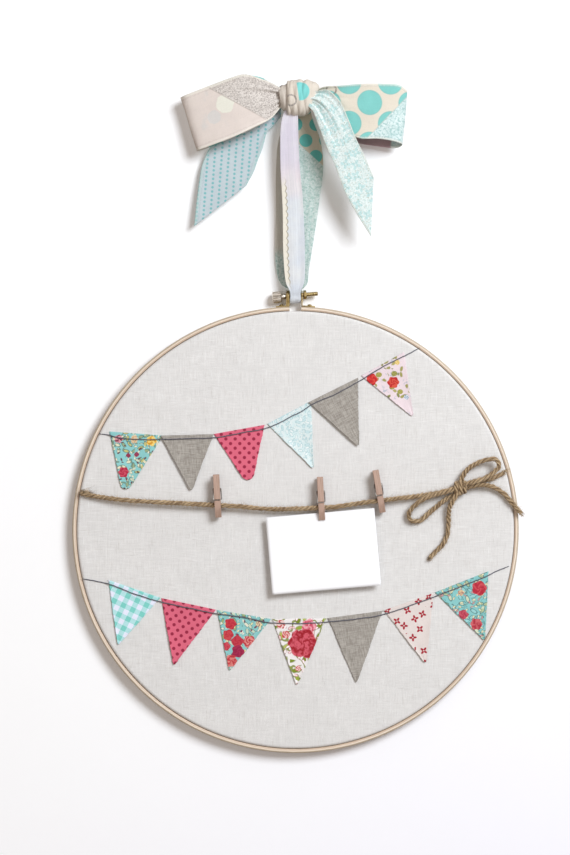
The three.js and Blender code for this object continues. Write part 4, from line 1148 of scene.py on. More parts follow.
def flagCorners(row, index, values):
    # The pennant's header runs above the thread between two shares of the row's thread.
    ends, point, *_ = flagShares[row][index]
    route = threadRoutes[row]
    run = runOf(route)
    left, right = np.column_stack([np.interp(np.array(ends) * run[-1], run, route[:, k]) for k in range(3)])
    up = unit(np.array([left[2] - right[2], 0, right[0] - left[0]])) * values["header"]
    return left, right, (left + right) / 2 + up, onHoop(point, 0.0)[0]


def makePennant(name, row, index, values, material, slotName):
    # Rows run from the stitched header down to the point: each row is the header's row
    # scaled towards the point, so the width falls to that of the blunt point. The edge
    # wavers, the lower part stands off a little and the cloth dips at the stitches.
    _, _, over, blunt = flagShares[row][index]
    left, right, middle, tip = flagCorners(row, index, values)
    top = unit(right - left)
    s = np.linspace(-0.5, 0.5, values["cells"] + 1)[None, :, None]
    t = np.linspace(0, 1, values["rows"] + 1)[:, None, None]
    width = np.linalg.norm(right - left) * (1 - t) + blunt * t
    nearTip = np.clip((1 - t) * np.linalg.norm(tip - middle) / max(blunt * 0.45, 0.0006), 0, 1)
    width = width * np.maximum(np.sqrt(nearTip * (2 - nearTip)), 0.2)
    centre = middle + (tip - middle) * t
    draw = np.random.default_rng(31 * index + len(row))
    phase = draw.uniform(0, 2 * np.pi, 6)
    waver = sum(np.sin(t * f + p) for f, p in zip((9, 23, 61, 97), phase)) * values["edge"] / 2.4
    points = centre + top * s * width + top * waver * np.sign(s) * np.abs(2 * s) ** 3
    back = linenFront + fit * 0.6 + over * flagStep + values["thickness"] / 2
    drop = smooth(t, 0.15, 1.0) * values["lift"] * draw.uniform(0.5, 1.0)
    ripple = 0.00016 * np.sin(s * 7 + t * 4 + phase[4]) * np.sin(t * 8 + phase[5]) * smooth(t, 0.05, 0.3)
    curl = 0.0004 * np.abs(2 * s) ** 4 * smooth(t, 0.1, 0.5)
    length = np.linalg.norm(tip - middle)
    seam = np.abs(t * length - values["header"])
    pucker = -0.00012 * (1 - smooth(seam, 0.0, 0.0012))
    points[..., 1] = -(back + (drop + ripple + curl + pucker))[..., 0]
    uv = np.stack([points[..., 0], points[..., 2]], -1)
    made = surface(name, points, uv)
    thicken(made, values["thickness"])
    place(made, "hoop", slotName, material, f"{row}_pennant_{index + 1}")


def makeFlag(name, row, index, values, paint, slotName, **settings):
    # The print is laid out in the pennant's own directions: a place is a share across
    # the row, -0.5 to 0.5, and a share down from the header to the point.
    left, right, middle, tip = flagCorners(row, index, values)
    blunt = flagShares[row][index][3]
    turn = math.degrees(math.atan2(right[2] - left[2], right[0] - left[0]))

    def spot(across, down):
        width = np.linalg.norm(right - left) * (1 - down) + blunt * down
        at = middle + (tip - middle) * down + unit(right - left) * across * width
        return float(at[0]), float(at[2])

    def painted(vector):
        return paint(vector, spot, turn)

    material = cloth(name, painted, turn=turn, **settings)
    makePennant(f"{row}Pennant{index + 1}", row, index, values, material, slotName)


def paintDots(vector, spot, turn):
    lattice = turnedBy(vector, -turn if turn < 0 else 0)
    made = spotted(lattice, 0.0065, 0.0065, 0.00118, 0.00025)
    return mixed(made["Mask"], (219, 100, 124), (150, 30, 62))


def paintGingham(vector, spot, turn):
    level = use(gingham, Vector=turnedBy(vector, 26), Check=0.0036)["Level"]
    half = mixed(remap(level, 0.0, 1.0), (232, 235, 252), (180, 226, 228))
    return mixed(remap(level, 1.0, 2.0), half, (126, 208, 198))


# Flowered prints. Ground: the cloud's scale and two colours, or winding stems by scale, width and
# share. Leaves: shift, scale, fill, colours, outline and its share. Rings: scale, spread, share and
# colour. Blooms: place on the pennant, radius, petals, outer and inner colour.
prints = {
    "tealFlowers": {
        "cloud": 60.0, "ground": [(134, 196, 196), (146, 206, 204)],
        "leaves": [
            (None, 240.0, 0.62, [(226, 222, 190), (150, 168, 130), (206, 214, 190), (196, 190, 120)],
             (62, 92, 92), 0.8),
            ((0.02, 0.01, 0.0), 430.0, 0.42, [(236, 230, 200), (104, 58, 74), (120, 150, 130)],
             (88, 110, 100), 0.6),
        ],
        "blooms": [((-0.34, 0.12), 0.0031, 5, (120, 34, 62), (224, 160, 168)),
                   ((0.34, 0.11), 0.0038, 5, (214, 150, 44), (246, 214, 120)),
                   ((-0.02, 0.1), 0.0029, 6, (230, 206, 170), (206, 160, 116)),
                   ((-0.1, 0.4), 0.0017, 4, (132, 34, 66), (150, 60, 86)),
                   ((0.12, 0.37), 0.0018, 4, (132, 34, 66), (160, 70, 96)),
                   ((-0.24, 0.7), 0.0038, 6, (170, 22, 58), (206, 74, 96))],
    },
    "pale": {
        "cloud": 130.0, "patches": (0.46, 0.56), "ground": [(222, 233, 233), (212, 230, 231)],
        "leaves": [
            (None, 300.0, 0.8, [(232, 239, 239), (210, 228, 230), (200, 223, 226)], (168, 202, 206), 0.9),
            ((0.01, 0.02, 0.0), 520.0, 0.4, [(228, 237, 236), (184, 212, 216)], (186, 204, 203), 0.6),
        ],
        "blooms": [],
    },
    "roses": {
        "cloud": 50.0, "ground": [(228, 208, 214), (233, 219, 222)],
        "rings": (260.0, 170.0, 0.7, (166, 178, 190)),
        "leaves": [
            (None, 260.0, 0.26, [(158, 152, 86), (172, 162, 98), (132, 134, 80)], (164, 156, 106), 0.5),
        ],
        "blooms": [((-0.2, 0.13), 0.0022, 2, (146, 144, 66), (178, 168, 94)),
                   ((0.14, 0.24), 0.0021, 2, (130, 134, 62), (170, 160, 88)),
                   ((0.06, 0.55), 0.0019, 2, (146, 144, 66), (178, 168, 94)),
                   ((-0.12, 0.42), 0.0019, 2, (130, 134, 62), (170, 160, 88)),
                   ((-0.4, 0.14), 0.0042, 5, (190, 20, 32), (216, 70, 56)),
                   ((0.0, 0.36), 0.0042, 6, (184, 22, 34), (214, 84, 64)),
                   ((0.3, 0.1), 0.0018, 5, (214, 176, 90), (236, 214, 150)),
                   ((0.24, 0.68), 0.0018, 5, (120, 150, 176), (226, 230, 236))],
    },
    "garland": {
        "cloud": 60.0, "ground": [(130, 192, 192), (144, 202, 200)],
        "leaves": [
            (None, 230.0, 0.7, [(228, 226, 206), (196, 214, 190), (150, 172, 120)], (78, 112, 106), 0.8),
            ((0.01, 0.01, 0.0), 420.0, 0.3, [(236, 226, 170), (120, 44, 84), (224, 228, 214)],
             (96, 110, 96), 0.6),
        ],
        "blooms": [((-0.24, 0.2), 0.0042, 5, (182, 34, 52), (200, 56, 68)),
                   ((-0.3, 0.4), 0.004, 5, (184, 38, 54), (202, 66, 74)),
                   ((0.4, 0.46), 0.0046, 6, (182, 36, 52), (222, 142, 136)),
                   ((0.0, 0.48), 0.0044, 4, (178, 34, 54), (194, 54, 70)),
                   ((0.16, 0.66), 0.0046, 5, (148, 18, 64), (166, 34, 76)),
                   ((-0.1, 0.84), 0.0046, 6, (186, 38, 52), (222, 132, 124)),
                   ((-0.42, 0.6), 0.0032, 5, (180, 40, 62), (204, 72, 84)),
                   ((0.34, 0.12), 0.0022, 5, (232, 222, 176), (150, 70, 90))],
    },
    "bigBloom": {
        "stems": (85.0, 0.016, 0.9), "ground": [(238, 233, 232), (126, 136, 40)],
        "leaves": [
            (None, 175.0, 0.6, [(150, 166, 60), (122, 138, 34), (176, 184, 90)], (110, 120, 40), 0.5),
            ((0.03, 0.01, 0.0), 300.0, 0.25, [(250, 240, 238), (240, 206, 206)], (150, 40, 50), 0.8),
        ],
        "blooms": [((-0.36, 0.08), 0.0034, 6, (190, 40, 48), (246, 214, 208)),
                   ((-0.3, 0.24), 0.003, 5, (236, 190, 184), (196, 50, 54)),
                   ((0.2, 0.12), 0.0052, 5, (206, 70, 96), (240, 170, 180)),
                   ((0.14, 0.38), 0.0108, 6, (158, 8, 30), (212, 88, 104)),
                   ((0.04, 0.76), 0.0022, 5, (196, 60, 70), (246, 220, 214))],
    },
    "tealLeaves": {
        "cloud": 60.0, "ground": [(128, 192, 192), (142, 202, 200)],
        "leaves": [
            (None, 205.0, 0.85, [(206, 214, 186), (150, 204, 204), (178, 190, 150)], (70, 104, 104), 0.8),
            ((0.02, 0.03, 0.0), 400.0, 0.5, [(226, 220, 180), (120, 190, 190), (196, 150, 150)],
             (84, 100, 96), 0.7),
        ],
        "blooms": [((0.3, 0.2), 0.0054, 5, (176, 30, 52), (204, 76, 84)),
                   ((-0.36, 0.5), 0.0036, 5, (168, 40, 66), (196, 82, 98)),
                   ((-0.12, 0.72), 0.0044, 6, (172, 40, 58), (206, 98, 104)),
                   ((-0.1, 0.16), 0.0022, 5, (222, 196, 150), (170, 110, 110))],
    },
}


def flowered(name):  # the paint of one of the flowered prints
    look = prints[name]

    def painted(vector, spot, turn):
        if "stems" in look:
            scale, width, share = look["stems"]
            cloud = times(use(vines, Vector=vector, Scale=scale, Width=width)["Line"], share)
        else:
            cloud = noise(vector, look["cloud"])
        if "patches" in look:
            cloud = remap(cloud, *look["patches"])
        colour = mixed(cloud, *look["ground"])
        for shift, *layer in look["leaves"]:
            colour = foliage(vectorPlus(vector, shift) if shift else vector, colour, *layer)
        if "rings" in look:
            scale, spread, share, above = look["rings"]
            sparse = remap(noise(vector, spread), 0.58, 0.64)
            rings = times(use(lace, Vector=vector, Scale=scale)["Mask"], sparse)
            colour = mixed(times(rings, share), colour, above)
        return blooms(vector, colour, spot, look["blooms"])
    return painted


def paintRedMarks(vector, spot, turn):
    lattice = turnedBy(vector, -turn - 18)
    made = use(florets, Vector=lattice, Scale=108.0, Size=0.3, Stray=0.5)
    return mixed(made["Mask"], (224, 213, 208), (164, 24, 42))


def paintGreyLinen(vector, spot, turn):
    # Warp and weft of uneven greys: drawn-out noise both ways, and a few thick dark bits.
    straight = turnedBy(vector, -turn)
    down = noise(vectorTimes(straight, (1500.0, 130.0, 1.0)), 1.0, 3.0, 0.7)
    across = noise(vectorTimes(straight, (130.0, 1500.0, 5.0)), 1.0, 3.0, 0.7)
    tone = minus(plus(down, across), 0.5)
    thick = remap(noise(vectorTimes(straight, (900.0, 320.0, 9.0)), 1.0, 2.0), 0.64, 0.72)
    colour = mixed(remap(tone, 0.3, 0.7), (146, 139, 131), (181, 175, 167))
    return mixed(times(thick, 0.4), colour, (120, 114, 108))


greyWeave = {"threads": 1900.0, "slub": 0.3, "relief": 0.00012}
flagCloths = {
    "top": [
        ("tealFlowers", flowered("tealFlowers"), "teal_cotton", {}),
        ("greyLinenLeft", paintGreyLinen, "grey_linen", greyWeave),
        ("pinkDots", paintDots, "pink_cotton", {}), ("paleAqua", flowered("pale"), "aqua_cotton", {}),
        ("greyLinenRight", paintGreyLinen, "grey_linen", greyWeave),
        ("roses", flowered("roses"), "rose_cotton", {}),
    ],
    "bottom": [
        ("mintGingham", paintGingham, "gingham_cotton", {}), ("pinkDotsTurned", paintDots, "pink_cotton", {}),
        ("garland", flowered("garland"), "teal_cotton", {}),
        ("bigBloom", flowered("bigBloom"), "white_cotton", {}),
        ("greyLinenLow", paintGreyLinen, "grey_linen", greyWeave),
        ("redMarks", paintRedMarks, "white_cotton", {}),
        ("tealLeaves", flowered("tealLeaves"), "teal_cotton", {}),
    ],
}
for row, entries in flagCloths.items():
    for index, (name, paint, slotName, settings) in enumerate(entries):
        makeFlag(name, row, index, pennant, paint, slotName, **settings)
print("pennants are hung")

# Clothespins
pin = {
    "width": 0.0042, "lever": 0.0032, "jaw": 0.0085, "coilRise": 0.0105, "handle": 0.0215, "jawTip": 0.0014,
    "jawTaper": 0.006, "handleTip": 0.0012, "wire": 0.0007, "coilRadius": 0.0012, "coilTurns": 4,
    "crossing": 0.0038, "proud": 0.0002, "jawGap": 0.0009, "edge": 0.0003, "ringStep": 0.00016,
    "coilPoints": 130,
    "light": (186, 155, 138), "dark": (146, 116, 100), "pore": (108, 82, 68), "fine": 1500.0,
}
pinPlaces = {"left": ((-0.356, 0.1145), 3.3), "middle": ((0.119, 0.1034), 3.1),
             "right": ((0.39, 0.1363), 9.7)}


def leverOutline(v):
    # Out from the middle of the jaws and up from the twine: jaw end, outer face with the
    # wire's groove, handle, then back down past the coil's groove and the twine's notch.
    inner = v["jawGap"] / 2
    outer = inner + v["lever"]
    notch = twineThickness / 2 + fit
    groove = v["coilRadius"] + v["wire"] / 2 + fit
    wireRoom = v["wire"] / 2 + fit
    wireTurn = math.acos(v["proud"] / wireRoom)
    grooveTurn, notchTurn = math.acos(inner / groove), math.acos(inner / notch)
    return np.vstack([
        [[inner, -v["jaw"]], [inner + v["jawTip"] * 0.8, -v["jaw"]],
         [inner + v["jawTip"], -v["jaw"] + 0.0003]],
        [[outer - 0.0003, v["jawTaper"] - v["jaw"] - 0.0006], [outer, v["jawTaper"] - v["jaw"] + 0.0003]],
        arc(outer + v["proud"], v["crossing"], wireRoom, math.pi + wireTurn, math.pi - wireTurn, 9),
        [[outer, v["handle"] - 0.0006], [outer - 0.0002, v["handle"] - 0.0002],
         [outer - 0.0006, v["handle"]]],
        [[outer - v["handleTip"], v["handle"]]],
        arc(0, v["coilRise"], groove, grooveTurn, -grooveTurn, 13),
        arc(0, 0, notch, notchTurn, -notchTurn, 13),
    ])


def inPin(points, which):  # the pin's own axes, leaning in the wall's plane, on its place on the twine
    shares, lean = pinPlaces[which]
    return leaned(*np.moveaxis(points, -1, 0), lean) + onHoop(shares, jawPlane)[0]


def makeLever(which, side, v, material, body):
    # The outline carried across the lever's width; near both sides it draws in by a
    # quarter circle, which rounds the edges.
    outline = leverOutline(v)
    tangent = unit(np.roll(outline, -1, 0) - np.roll(outline, 1, 0))
    normal = np.column_stack([tangent[:, 1], -tangent[:, 0]])
    turn = np.linspace(0, np.pi / 2, 5)
    half, off = v["width"] / 2, v["edge"] * (1 - np.sin(turn))
    across = np.concatenate([off - half, half - off[::-1]])
    drawnIn = v["edge"] * (1 - np.cos(np.pi / 2 - turn))
    inset = np.concatenate([drawnIn, drawnIn[::-1]])
    shape = outline[None] - normal[None] * inset[:, None, None]
    points = stacked(across[:, None], shape[..., 0] * side, shape[..., 1])
    flat = closedGrid(points)
    uv = np.stack([flat[..., 2], flat[..., 0] + flat[..., 1] * 0.7], -1)
    label = "BackLever" if side > 0 else "FrontLever"
    node = f"{which}_pin_{'back' if side > 0 else 'front'}_lever"
    made = surface(which + label, inPin(points, which), uv, wrapCols=True, caps=True, sharp=40)
    place(made, body, "pin_wood", material, node)


def makeSpring(which, v, material):
    # An arm over the front lever, down its side into the coil, and out of the coil's other
    # end to the back lever; a round wire carried along it.
    reach = v["jawGap"] / 2 + v["lever"] + v["proud"]
    side = v["width"] / 2 + fit + v["wire"] / 2
    drop = v["crossing"] - v["coilRise"]
    start = math.atan2(drop, reach) + math.acos(v["coilRadius"] / math.hypot(reach, drop))
    whole = v["coilTurns"] * 2 * math.pi + math.pi - 2 * start
    w = v["wire"]
    arm = np.array([
        [side - fit - w, -reach, v["crossing"]], [0, -reach, v["crossing"]],
        [w * 1.6 - side, -reach, v["crossing"]],
        [w * 0.35 - side, -reach, v["crossing"] + w * 0.25], [-side, -reach * 0.99, v["crossing"] + w * 1.3],
    ])
    share = np.linspace(0, 1, v["coilPoints"])
    turn = start + share * whole
    coil = np.column_stack([
        -side + share * 2 * side, -v["coilRadius"] * np.cos(turn),
        v["coilRise"] + v["coilRadius"] * np.sin(turn)])
    straight = np.linspace(0, 1, 30)[1:-1, None]
    first = np.vstack([smoothCurve(arm, 48), arm[-1] + (coil[0] - arm[-1]) * straight])
    back = (arm * [-1, -1, 1])[::-1]
    last = np.vstack([coil[-1] + (back[0] - coil[-1]) * straight, smoothCurve(back, 48)])
    path, _ = evenly(np.vstack([first, coil, last]), v["ringStep"])
    onArm = np.abs(path[:, 1]) > reach * 0.985
    flatPart = np.convolve(np.pad(onArm.astype(float), 4, mode="edge"), np.ones(9) / 9, "valid")
    sign = np.where(np.arange(len(path)) < len(path) / 2, 1.0, -1.0)
    across = np.column_stack([1 - flatPart, flatPart * 0, flatPart * sign]) + 1e-6
    rings = tubeRings(path, np.full(10, w / 2), across=across)
    made = surface(which + "Spring", inPin(rings, which), wrapCols=True, caps=True)
    made.data.materials.append(material)
    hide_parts(which + "_pin_spring")
    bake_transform(made)


pinWood = makeWoodMaterial("pinWood", pin, 0.6)
steel = makeMetal("springSteel", (176, 170, 164), (120, 112, 104), 0.32)
for which in pinPlaces:
    makeLever(which, 1, pin, pinWood, which + "_clip")
    makeLever(which, -1, pin, pinWood, which + "_jaw")
    makeSpring(which, pin, steel)
print("clothespins are clipped on")

# Note card
card = {"width": 0.0762, "height": 0.054, "thickness": 0.0003, "bite": 0.005, "tilt": 5.0, "shift": -0.017,
        "curl": 0.0011, "colour": (248, 248, 250)}


def makeCard(v):
    # A flat sheet that bows forward towards its lower corners.
    shares, lean = pinPlaces["middle"]
    down = pin["jaw"] - v["bite"]
    turn = math.radians(lean)
    at = onHoop(shares, jawPlane)[0] + np.array([math.sin(turn) * down, 0, -math.cos(turn) * down])
    x = ((np.linspace(-0.5, 0.5, 41)) + v["shift"])[None] * v["width"]
    z = -np.linspace(0, 1, 31)[:, None] * v["height"]
    low = smooth(-z, 0.008, v["height"])
    bow = v["curl"] * low * (0.35 + 0.65 * (2 * x / v["width"]) ** 2) + 0.00012 * np.sin(x * 90 + 1) * low
    points = leaned(x, -bow, z, v["tilt"]) + at
    made = surface("noteCard", points, stacked(x, z))
    thicken(made, v["thickness"])
    material, shader = newMaterial("cardStock", Roughness=0.75, Specular_IOR_Level=0.3)
    pulp = noise(ownUv(), 1400.0, 3.0)
    worn = use(mottle, Vector=ownUv(), Scale=45.0, Amount=0.02)
    link(mixed(1.0, v["colour"], worn["Shade"], "MULTIPLY"), shader.inputs["Base Color"])
    bump(shader, pulp, 0.00002)
    place(made, "card", "card", material, "note_card")


makeCard(card)
print("card is clipped")

# Ribbon
ribbon = {"width": 0.038, "thickness": 0.00045, "gather": 0.0015, "wallGather": 0.0006}
ribbonShares = {  # the two edges in shares of the ribbon's width: right, out from the wall, up
    "left_loop": (
        [[-0.2, 0.36, 0.16], [-0.34, 0.4, 0.24], [-0.56, 0.46, 0.34], [-0.94, 0.5, 0.445],
         [-1.18, 0.5, 0.385],
         [-1.63, 0.45, 0.224], [-2.03, 0.37, 0.08], [-2.115, 0.29, 0.05], [-2.04, 0.21, 0.085],
         [-1.58, 0.175, 0.29], [-1, 0.165, 0.48], [-0.63, 0.175, 0.434], [-0.34, 0.21, 0.25],
         [-0.2, 0.23, 0.16]],
        [[-0.2, 0.33, -0.06], [-0.3, 0.36, -0.17], [-0.45, 0.43, -0.355], [-0.79, 0.48, -0.54],
         [-1.12, 0.49, -0.695], [-1.47, 0.45, -0.825], [-1.765, 0.37, -0.925], [-1.81, 0.29, -0.94],
         [-1.75, 0.21, -0.915], [-1.4, 0.175, -0.775], [-1, 0.165, -0.615], [-0.58, 0.175, -0.4],
         [-0.32, 0.21, -0.17], [-0.2, 0.23, -0.08]],
    ),
    "right_loop": (
        [[0.25, 0.36, 0.14], [0.4, 0.38, 0.19], [0.56, 0.44, 0.23], [0.82, 0.49, 0.24], [1.17, 0.51, 0.268],
         [1.58, 0.48, 0.274], [1.92, 0.41, 0.255], [2.06, 0.3, 0.155], [1.95, 0.2, 0.22], [1.53, 0.16, 0.255],
         [1.05, 0.16, 0.25], [0.68, 0.175, 0.224], [0.4, 0.2, 0.18], [0.25, 0.22, 0.14]],
        [[0.25, 0.33, -0.13], [0.4, 0.35, -0.22], [0.59, 0.42, -0.34], [0.83, 0.49, -0.51],
         [1.14, 0.51, -0.72],
         [1.53, 0.48, -0.735], [1.84, 0.41, -0.78], [1.968, 0.3, -0.826], [1.87, 0.2, -0.87],
         [1.5, 0.16, -0.83], [1.1, 0.16, -0.75], [0.71, 0.175, -0.45], [0.4, 0.2, -0.2], [0.25, 0.22, -0.13]],
    ),
    "left_tail": (
        [[-0.27, 0.118, -0.03], [-0.38, 0.118, -0.1], [-0.66, 0.115, -0.21], [-1.1, 0.11, -0.45],
         [-1.5, 0.115, -0.74], [-1.71, 0.13, -1.12], [-1.8, 0.17, -1.63], [-1.876, 0.21, -2.32]],
        [[-0.27, 0.118, -0.28], [-0.33, 0.118, -0.36], [-0.4, 0.13, -0.45], [-0.516, 0.145, -0.56],
         [-0.608, 0.155, -0.866], [-0.7, 0.17, -1.1], [-0.774, 0.185, -1.308], [-0.913, 0.21, -1.566]],
    ),
    "right_tail": (
        [[0.22, 0.46, 0.08], [0.4, 0.5, 0.14], [0.58, 0.57, 0.15], [0.8, 0.64, -0.055], [0.96, 0.66, -0.39],
         [1.1, 0.66, -0.74], [1.276, 0.635, -1.1], [1.43, 0.6, -1.463]],
        [[0.22, 0.48, -0.12], [0.33, 0.52, -0.25], [0.43, 0.58, -0.526], [0.565, 0.62, -0.9],
         [0.71, 0.62, -1.216],
         [0.895, 0.61, -1.705], [1.108, 0.57, -2.1], [1.38, 0.53, -2.53]],
    ),
}
strapShares = {  # left, right and out in shares of the width, down to the bolt, thickness
    "front": [[-0.2, 0.04, 0.36, 0.056, 0.05], [-0.262, 0.043, 0.35, 0.117, 0.058],
              [-0.279, 0.066, 0.335, 0.301, 0.053], [-0.237, 0.142, 0.31, 0.557, 0.053],
              [-0.221, 0.174, 0.29, 0.807, 0.058]],
    "frontWaist": [[-1.538, 1.357, 0.806, 1.15, 0.459], [-0.9, 0.82, 0.69, 0.4, 0.56]],
    "turn": [[0, 0.0205, 0.82, 0.622], [45, 0.05, 0.86, 0.655], [90, 0.073, 0.86, 0.701],
             [135, 0.05, 0.878, 0.59], [180, 0.024, 0.905, 0.459]],
    "backWaist": [[-1.04, 1.04, -0.4, 0.636, 0.38], [-2.352, 1.9, -0.4, 1.15, 0.275]],
    "back": [[-0.355, 0.25, 0.058, 0.863, 0.032], [-0.363, 0.42, 0.068, 0.557, 0.03],
             [-0.358, 0.513, 0.084, 0.329, 0.03], [-0.315, 0.46, 0.1, 0.2, 0.032],
             [-0.2, 0.33, 0.121, 0.1, 0.04], [-0.15, 0.24, 0.19, 0.01, 0.045]],
}
strap = {"drop": 0.1365, "lugDepth": 0.007, "room": 0.0058, "rows": 340, "cells": 60, "layer": 0.0004}
bowKnot = {
    "rings": [[-0.29, 0.19, 0.16], [-0.225, 0.245, 0.195], [-0.165, 0.255, 0.2], [-0.142, 0.31, 0.25],
              [-0.05, 0.326, 0.266], [0.05, 0.329, 0.27], [0.16, 0.326, 0.266], [0.26, 0.305, 0.245],
              [0.33, 0.265, 0.205], [0.366, 0.21, 0.16]],
    "rise": 0.037, "out": 0.302, "squareness": 2.2, "cells": 120, "rows": 120, "flare": 0.16, "lean": 0.02,
}


def clothGrid(edges, rows, cells, lift):
    # Straight rows between two smooth edges, moved square to the cloth by lift(u, v).
    left, right = (smoothCurve(np.asarray(e) * [1, -1, 1] * ribbon["width"], rows) for e in edges)
    v = np.linspace(0, 1, cells + 1)[None, :, None]
    points = left[:, None] + (right - left)[:, None] * v
    normal = unit(np.cross(np.gradient(points, axis=0),
                           np.broadcast_to((right - left)[:, None], points.shape)))
    u = np.linspace(0, 1, rows + 1)[:, None, None]
    points = points + normal * lift(u, v)
    middle = runOf((left + right) / 2)
    width = np.linspace(0, ribbon["width"], cells + 1)
    uv = stacked(middle[:, None], width[None])
    return points, uv, middle[-1]


def gathers(depth, power, both, seed):
    # Folds that start at the knot and fade away from it, with finer creases beside them.
    phase = np.random.default_rng(seed).uniform(0, 2 * np.pi, 6)

    def lift(u, v):
        near = np.abs(np.cos(np.pi * u)) ** power if both else (1 - u) ** (power / 2)
        fine = 0.4 * np.sin(10 * np.pi * v + phase[0]) + 0.22 * np.sin(17 * np.pi * v + phase[1])
        main = np.sin(4 * np.pi * v) + fine
        slow = 0.35 * np.sin(2 * np.pi * (v + 1.3 * u) + phase[2]) * np.sin(np.pi * u * 3 + phase[3])
        hem = 0.12 * np.sin(u * 70 + phase[4]) * np.abs(2 * v - 1) ** 6
        return depth * (near * main + 0.45 * slow + hem)
    return lift


def makeBowPiece(name, node, edges, rows, lift, material, slotName):
    points, uv, length = clothGrid(edges, rows, 48, lift)
    made = surface(name, points, uv)
    thicken(made, ribbon["thickness"])
    place(made, "ribbon", slotName, material, node)


def hemmed(colour, line, fray, margin=0.0011):
    # Raw long edges of the ribbon: a frayed pale margin and a shaded line beside it.
    made = use(rawEdge, Vector=ownUv(), Width=ribbon["width"], Margin=margin)
    shaded = mixed(times(made["Line"], 0.4), colour, line)
    return mixed(times(made["Fray"], 0.6), shaded, fray)


def laced(vector, below, scale, above, share):
    # Rings and crumbs at one scale, and finer crumbs between them.
    rings = use(lace, Vector=vector, Scale=scale)["Mask"]
    crumbs = use(lace, Vector=vectorPlus(vector, (0.03, 0.02, 0.0)), Scale=scale * 2.1)["Mask"]
    both = times(larger(rings, times(crumbs, 0.6)), share)
    return mixed(both, below, above)


def ringPrint(vector, colour, centre, radius, line):
    away = minus(lengthOf(fromPlace(vector, *centre)), radius)
    broken = remap(noise(vector, 900.0, 2.0), 0.3, 0.55, 0.35, 0.85)
    band = times(fade(absolute(away), 0.0002, 0.0009), broken)
    return mixed(band, colour, line)


def paintRightLoop(vector):
    centred = fromPlace(vector, 369.3, 104.0)
    spots = spotted(centred, 0.0289, 0.029, 0.0087, 0.00045)
    ground = clouded(vector, 45.0, (214, 203, 186), (226, 218, 203))
    teal = clouded(vector, 70.0, (116, 188, 182), (132, 204, 198))
    rim = remap(spots["Distance"], 0.0079, 0.0086, 0.0, 0.35)
    dotted = mixed(spots["Mask"], ground, mixed(rim, teal, (90, 160, 156)))
    dotted = ringPrint(vector, dotted, (331, 91), 0.0034, (130, 112, 104))
    small, away = sideOf(vector, (407, 97), (370.5, 135.5))
    ground2 = clouded(vector, 90.0, (206, 225, 226), (226, 235, 232))
    pale = laced(vector, ground2, 250.0, (140, 182, 180), 0.75)
    front = mixed(small, dotted, pale)
    seam = remap(absolute(away), 0.0002, 0.0006, 0.35, 0.0)
    shaded = hemmed(mixed(seam, front, (190, 180, 168)), (170, 176, 170), (226, 224, 214))
    along = split(ownUv())[0]
    return mixed(remap(along, 0.081, 0.083), shaded, (176, 146, 152))


def paintLeftLoop(vector):
    upper, away = sideOf(vector, (207, 88), (268, 121.5))
    base = clouded(vector, 110.0, (230, 224, 218), (220, 212, 205))
    grey = laced(vector, base, 430.0, (158, 149, 143), 0.85)
    pink = clouded(vector, 32.0, (216, 203, 196), (228, 218, 210))
    pink = mixed(remap(noise(vector, 75.0), 0.56, 0.7, 0.0, 0.35), pink, (198, 202, 202))
    for centre, radius, colour, share in (((224.5, 105), 0.0068, (230, 229, 216), 0.9),
                                          ((214, 118), 0.005, (208, 208, 206), 0.6)):
        spot = use(bloom, Vector=vector, Centre=(*fromPhoto(*centre), 0.0), Radius=radius, Petals=1)
        pink = mixed(times(spot["Mask"], share), pink, colour)
    front = mixed(upper, pink, grey)
    seam = remap(absolute(away), 0.0001, 0.0007, 0.4, 0.0)
    shaded = hemmed(mixed(seam, front, (168, 154, 144)), (188, 176, 166), (232, 228, 216), 0.0016)
    centred = fromPlace(vector, 256.5, 77)
    spots = spotted(centred, 0.0287, 0.0236, 0.0056, 0.0003)
    back = mixed(spots["Mask"], (222, 226, 222), (122, 200, 194))
    along = split(ownUv())[0]
    return mixed(remap(along, 0.083, 0.085), shaded, back)


def paintLeftTail(vector):
    turned = turnedBy(vector, 4)
    spots = spotted(turned, 0.0098, 0.003, 0.00088, 0.00035)
    ground = clouded(vector, 60.0, (182, 195, 202), (196, 207, 211))
    dotted = mixed(times(spots["Mask"], 0.85), ground, (102, 178, 180))
    return hemmed(dotted, (150, 170, 172), (176, 202, 198), 0.0018)


def paintRightTail(vector):
    ground = clouded(vector, 70.0, (229, 240, 239), (236, 243, 240))
    heads = use(florets, Vector=vector, Scale=120.0, Size=0.44, Stray=0.6)["Mask"]
    bloomed = mixed(times(heads, 0.5), ground, (158, 213, 216))
    fine = laced(vector, bloomed, 400.0, (150, 190, 186), 0.45)
    specks = remap(noise(vectorPlus(vector, (0.1, 0.0, 0.0)), 900.0, 1.0), 0.6, 0.7, 0.0, 0.6)
    return hemmed(mixed(specks, fine, (178, 172, 148)), (150, 150, 138), (214, 216, 204))


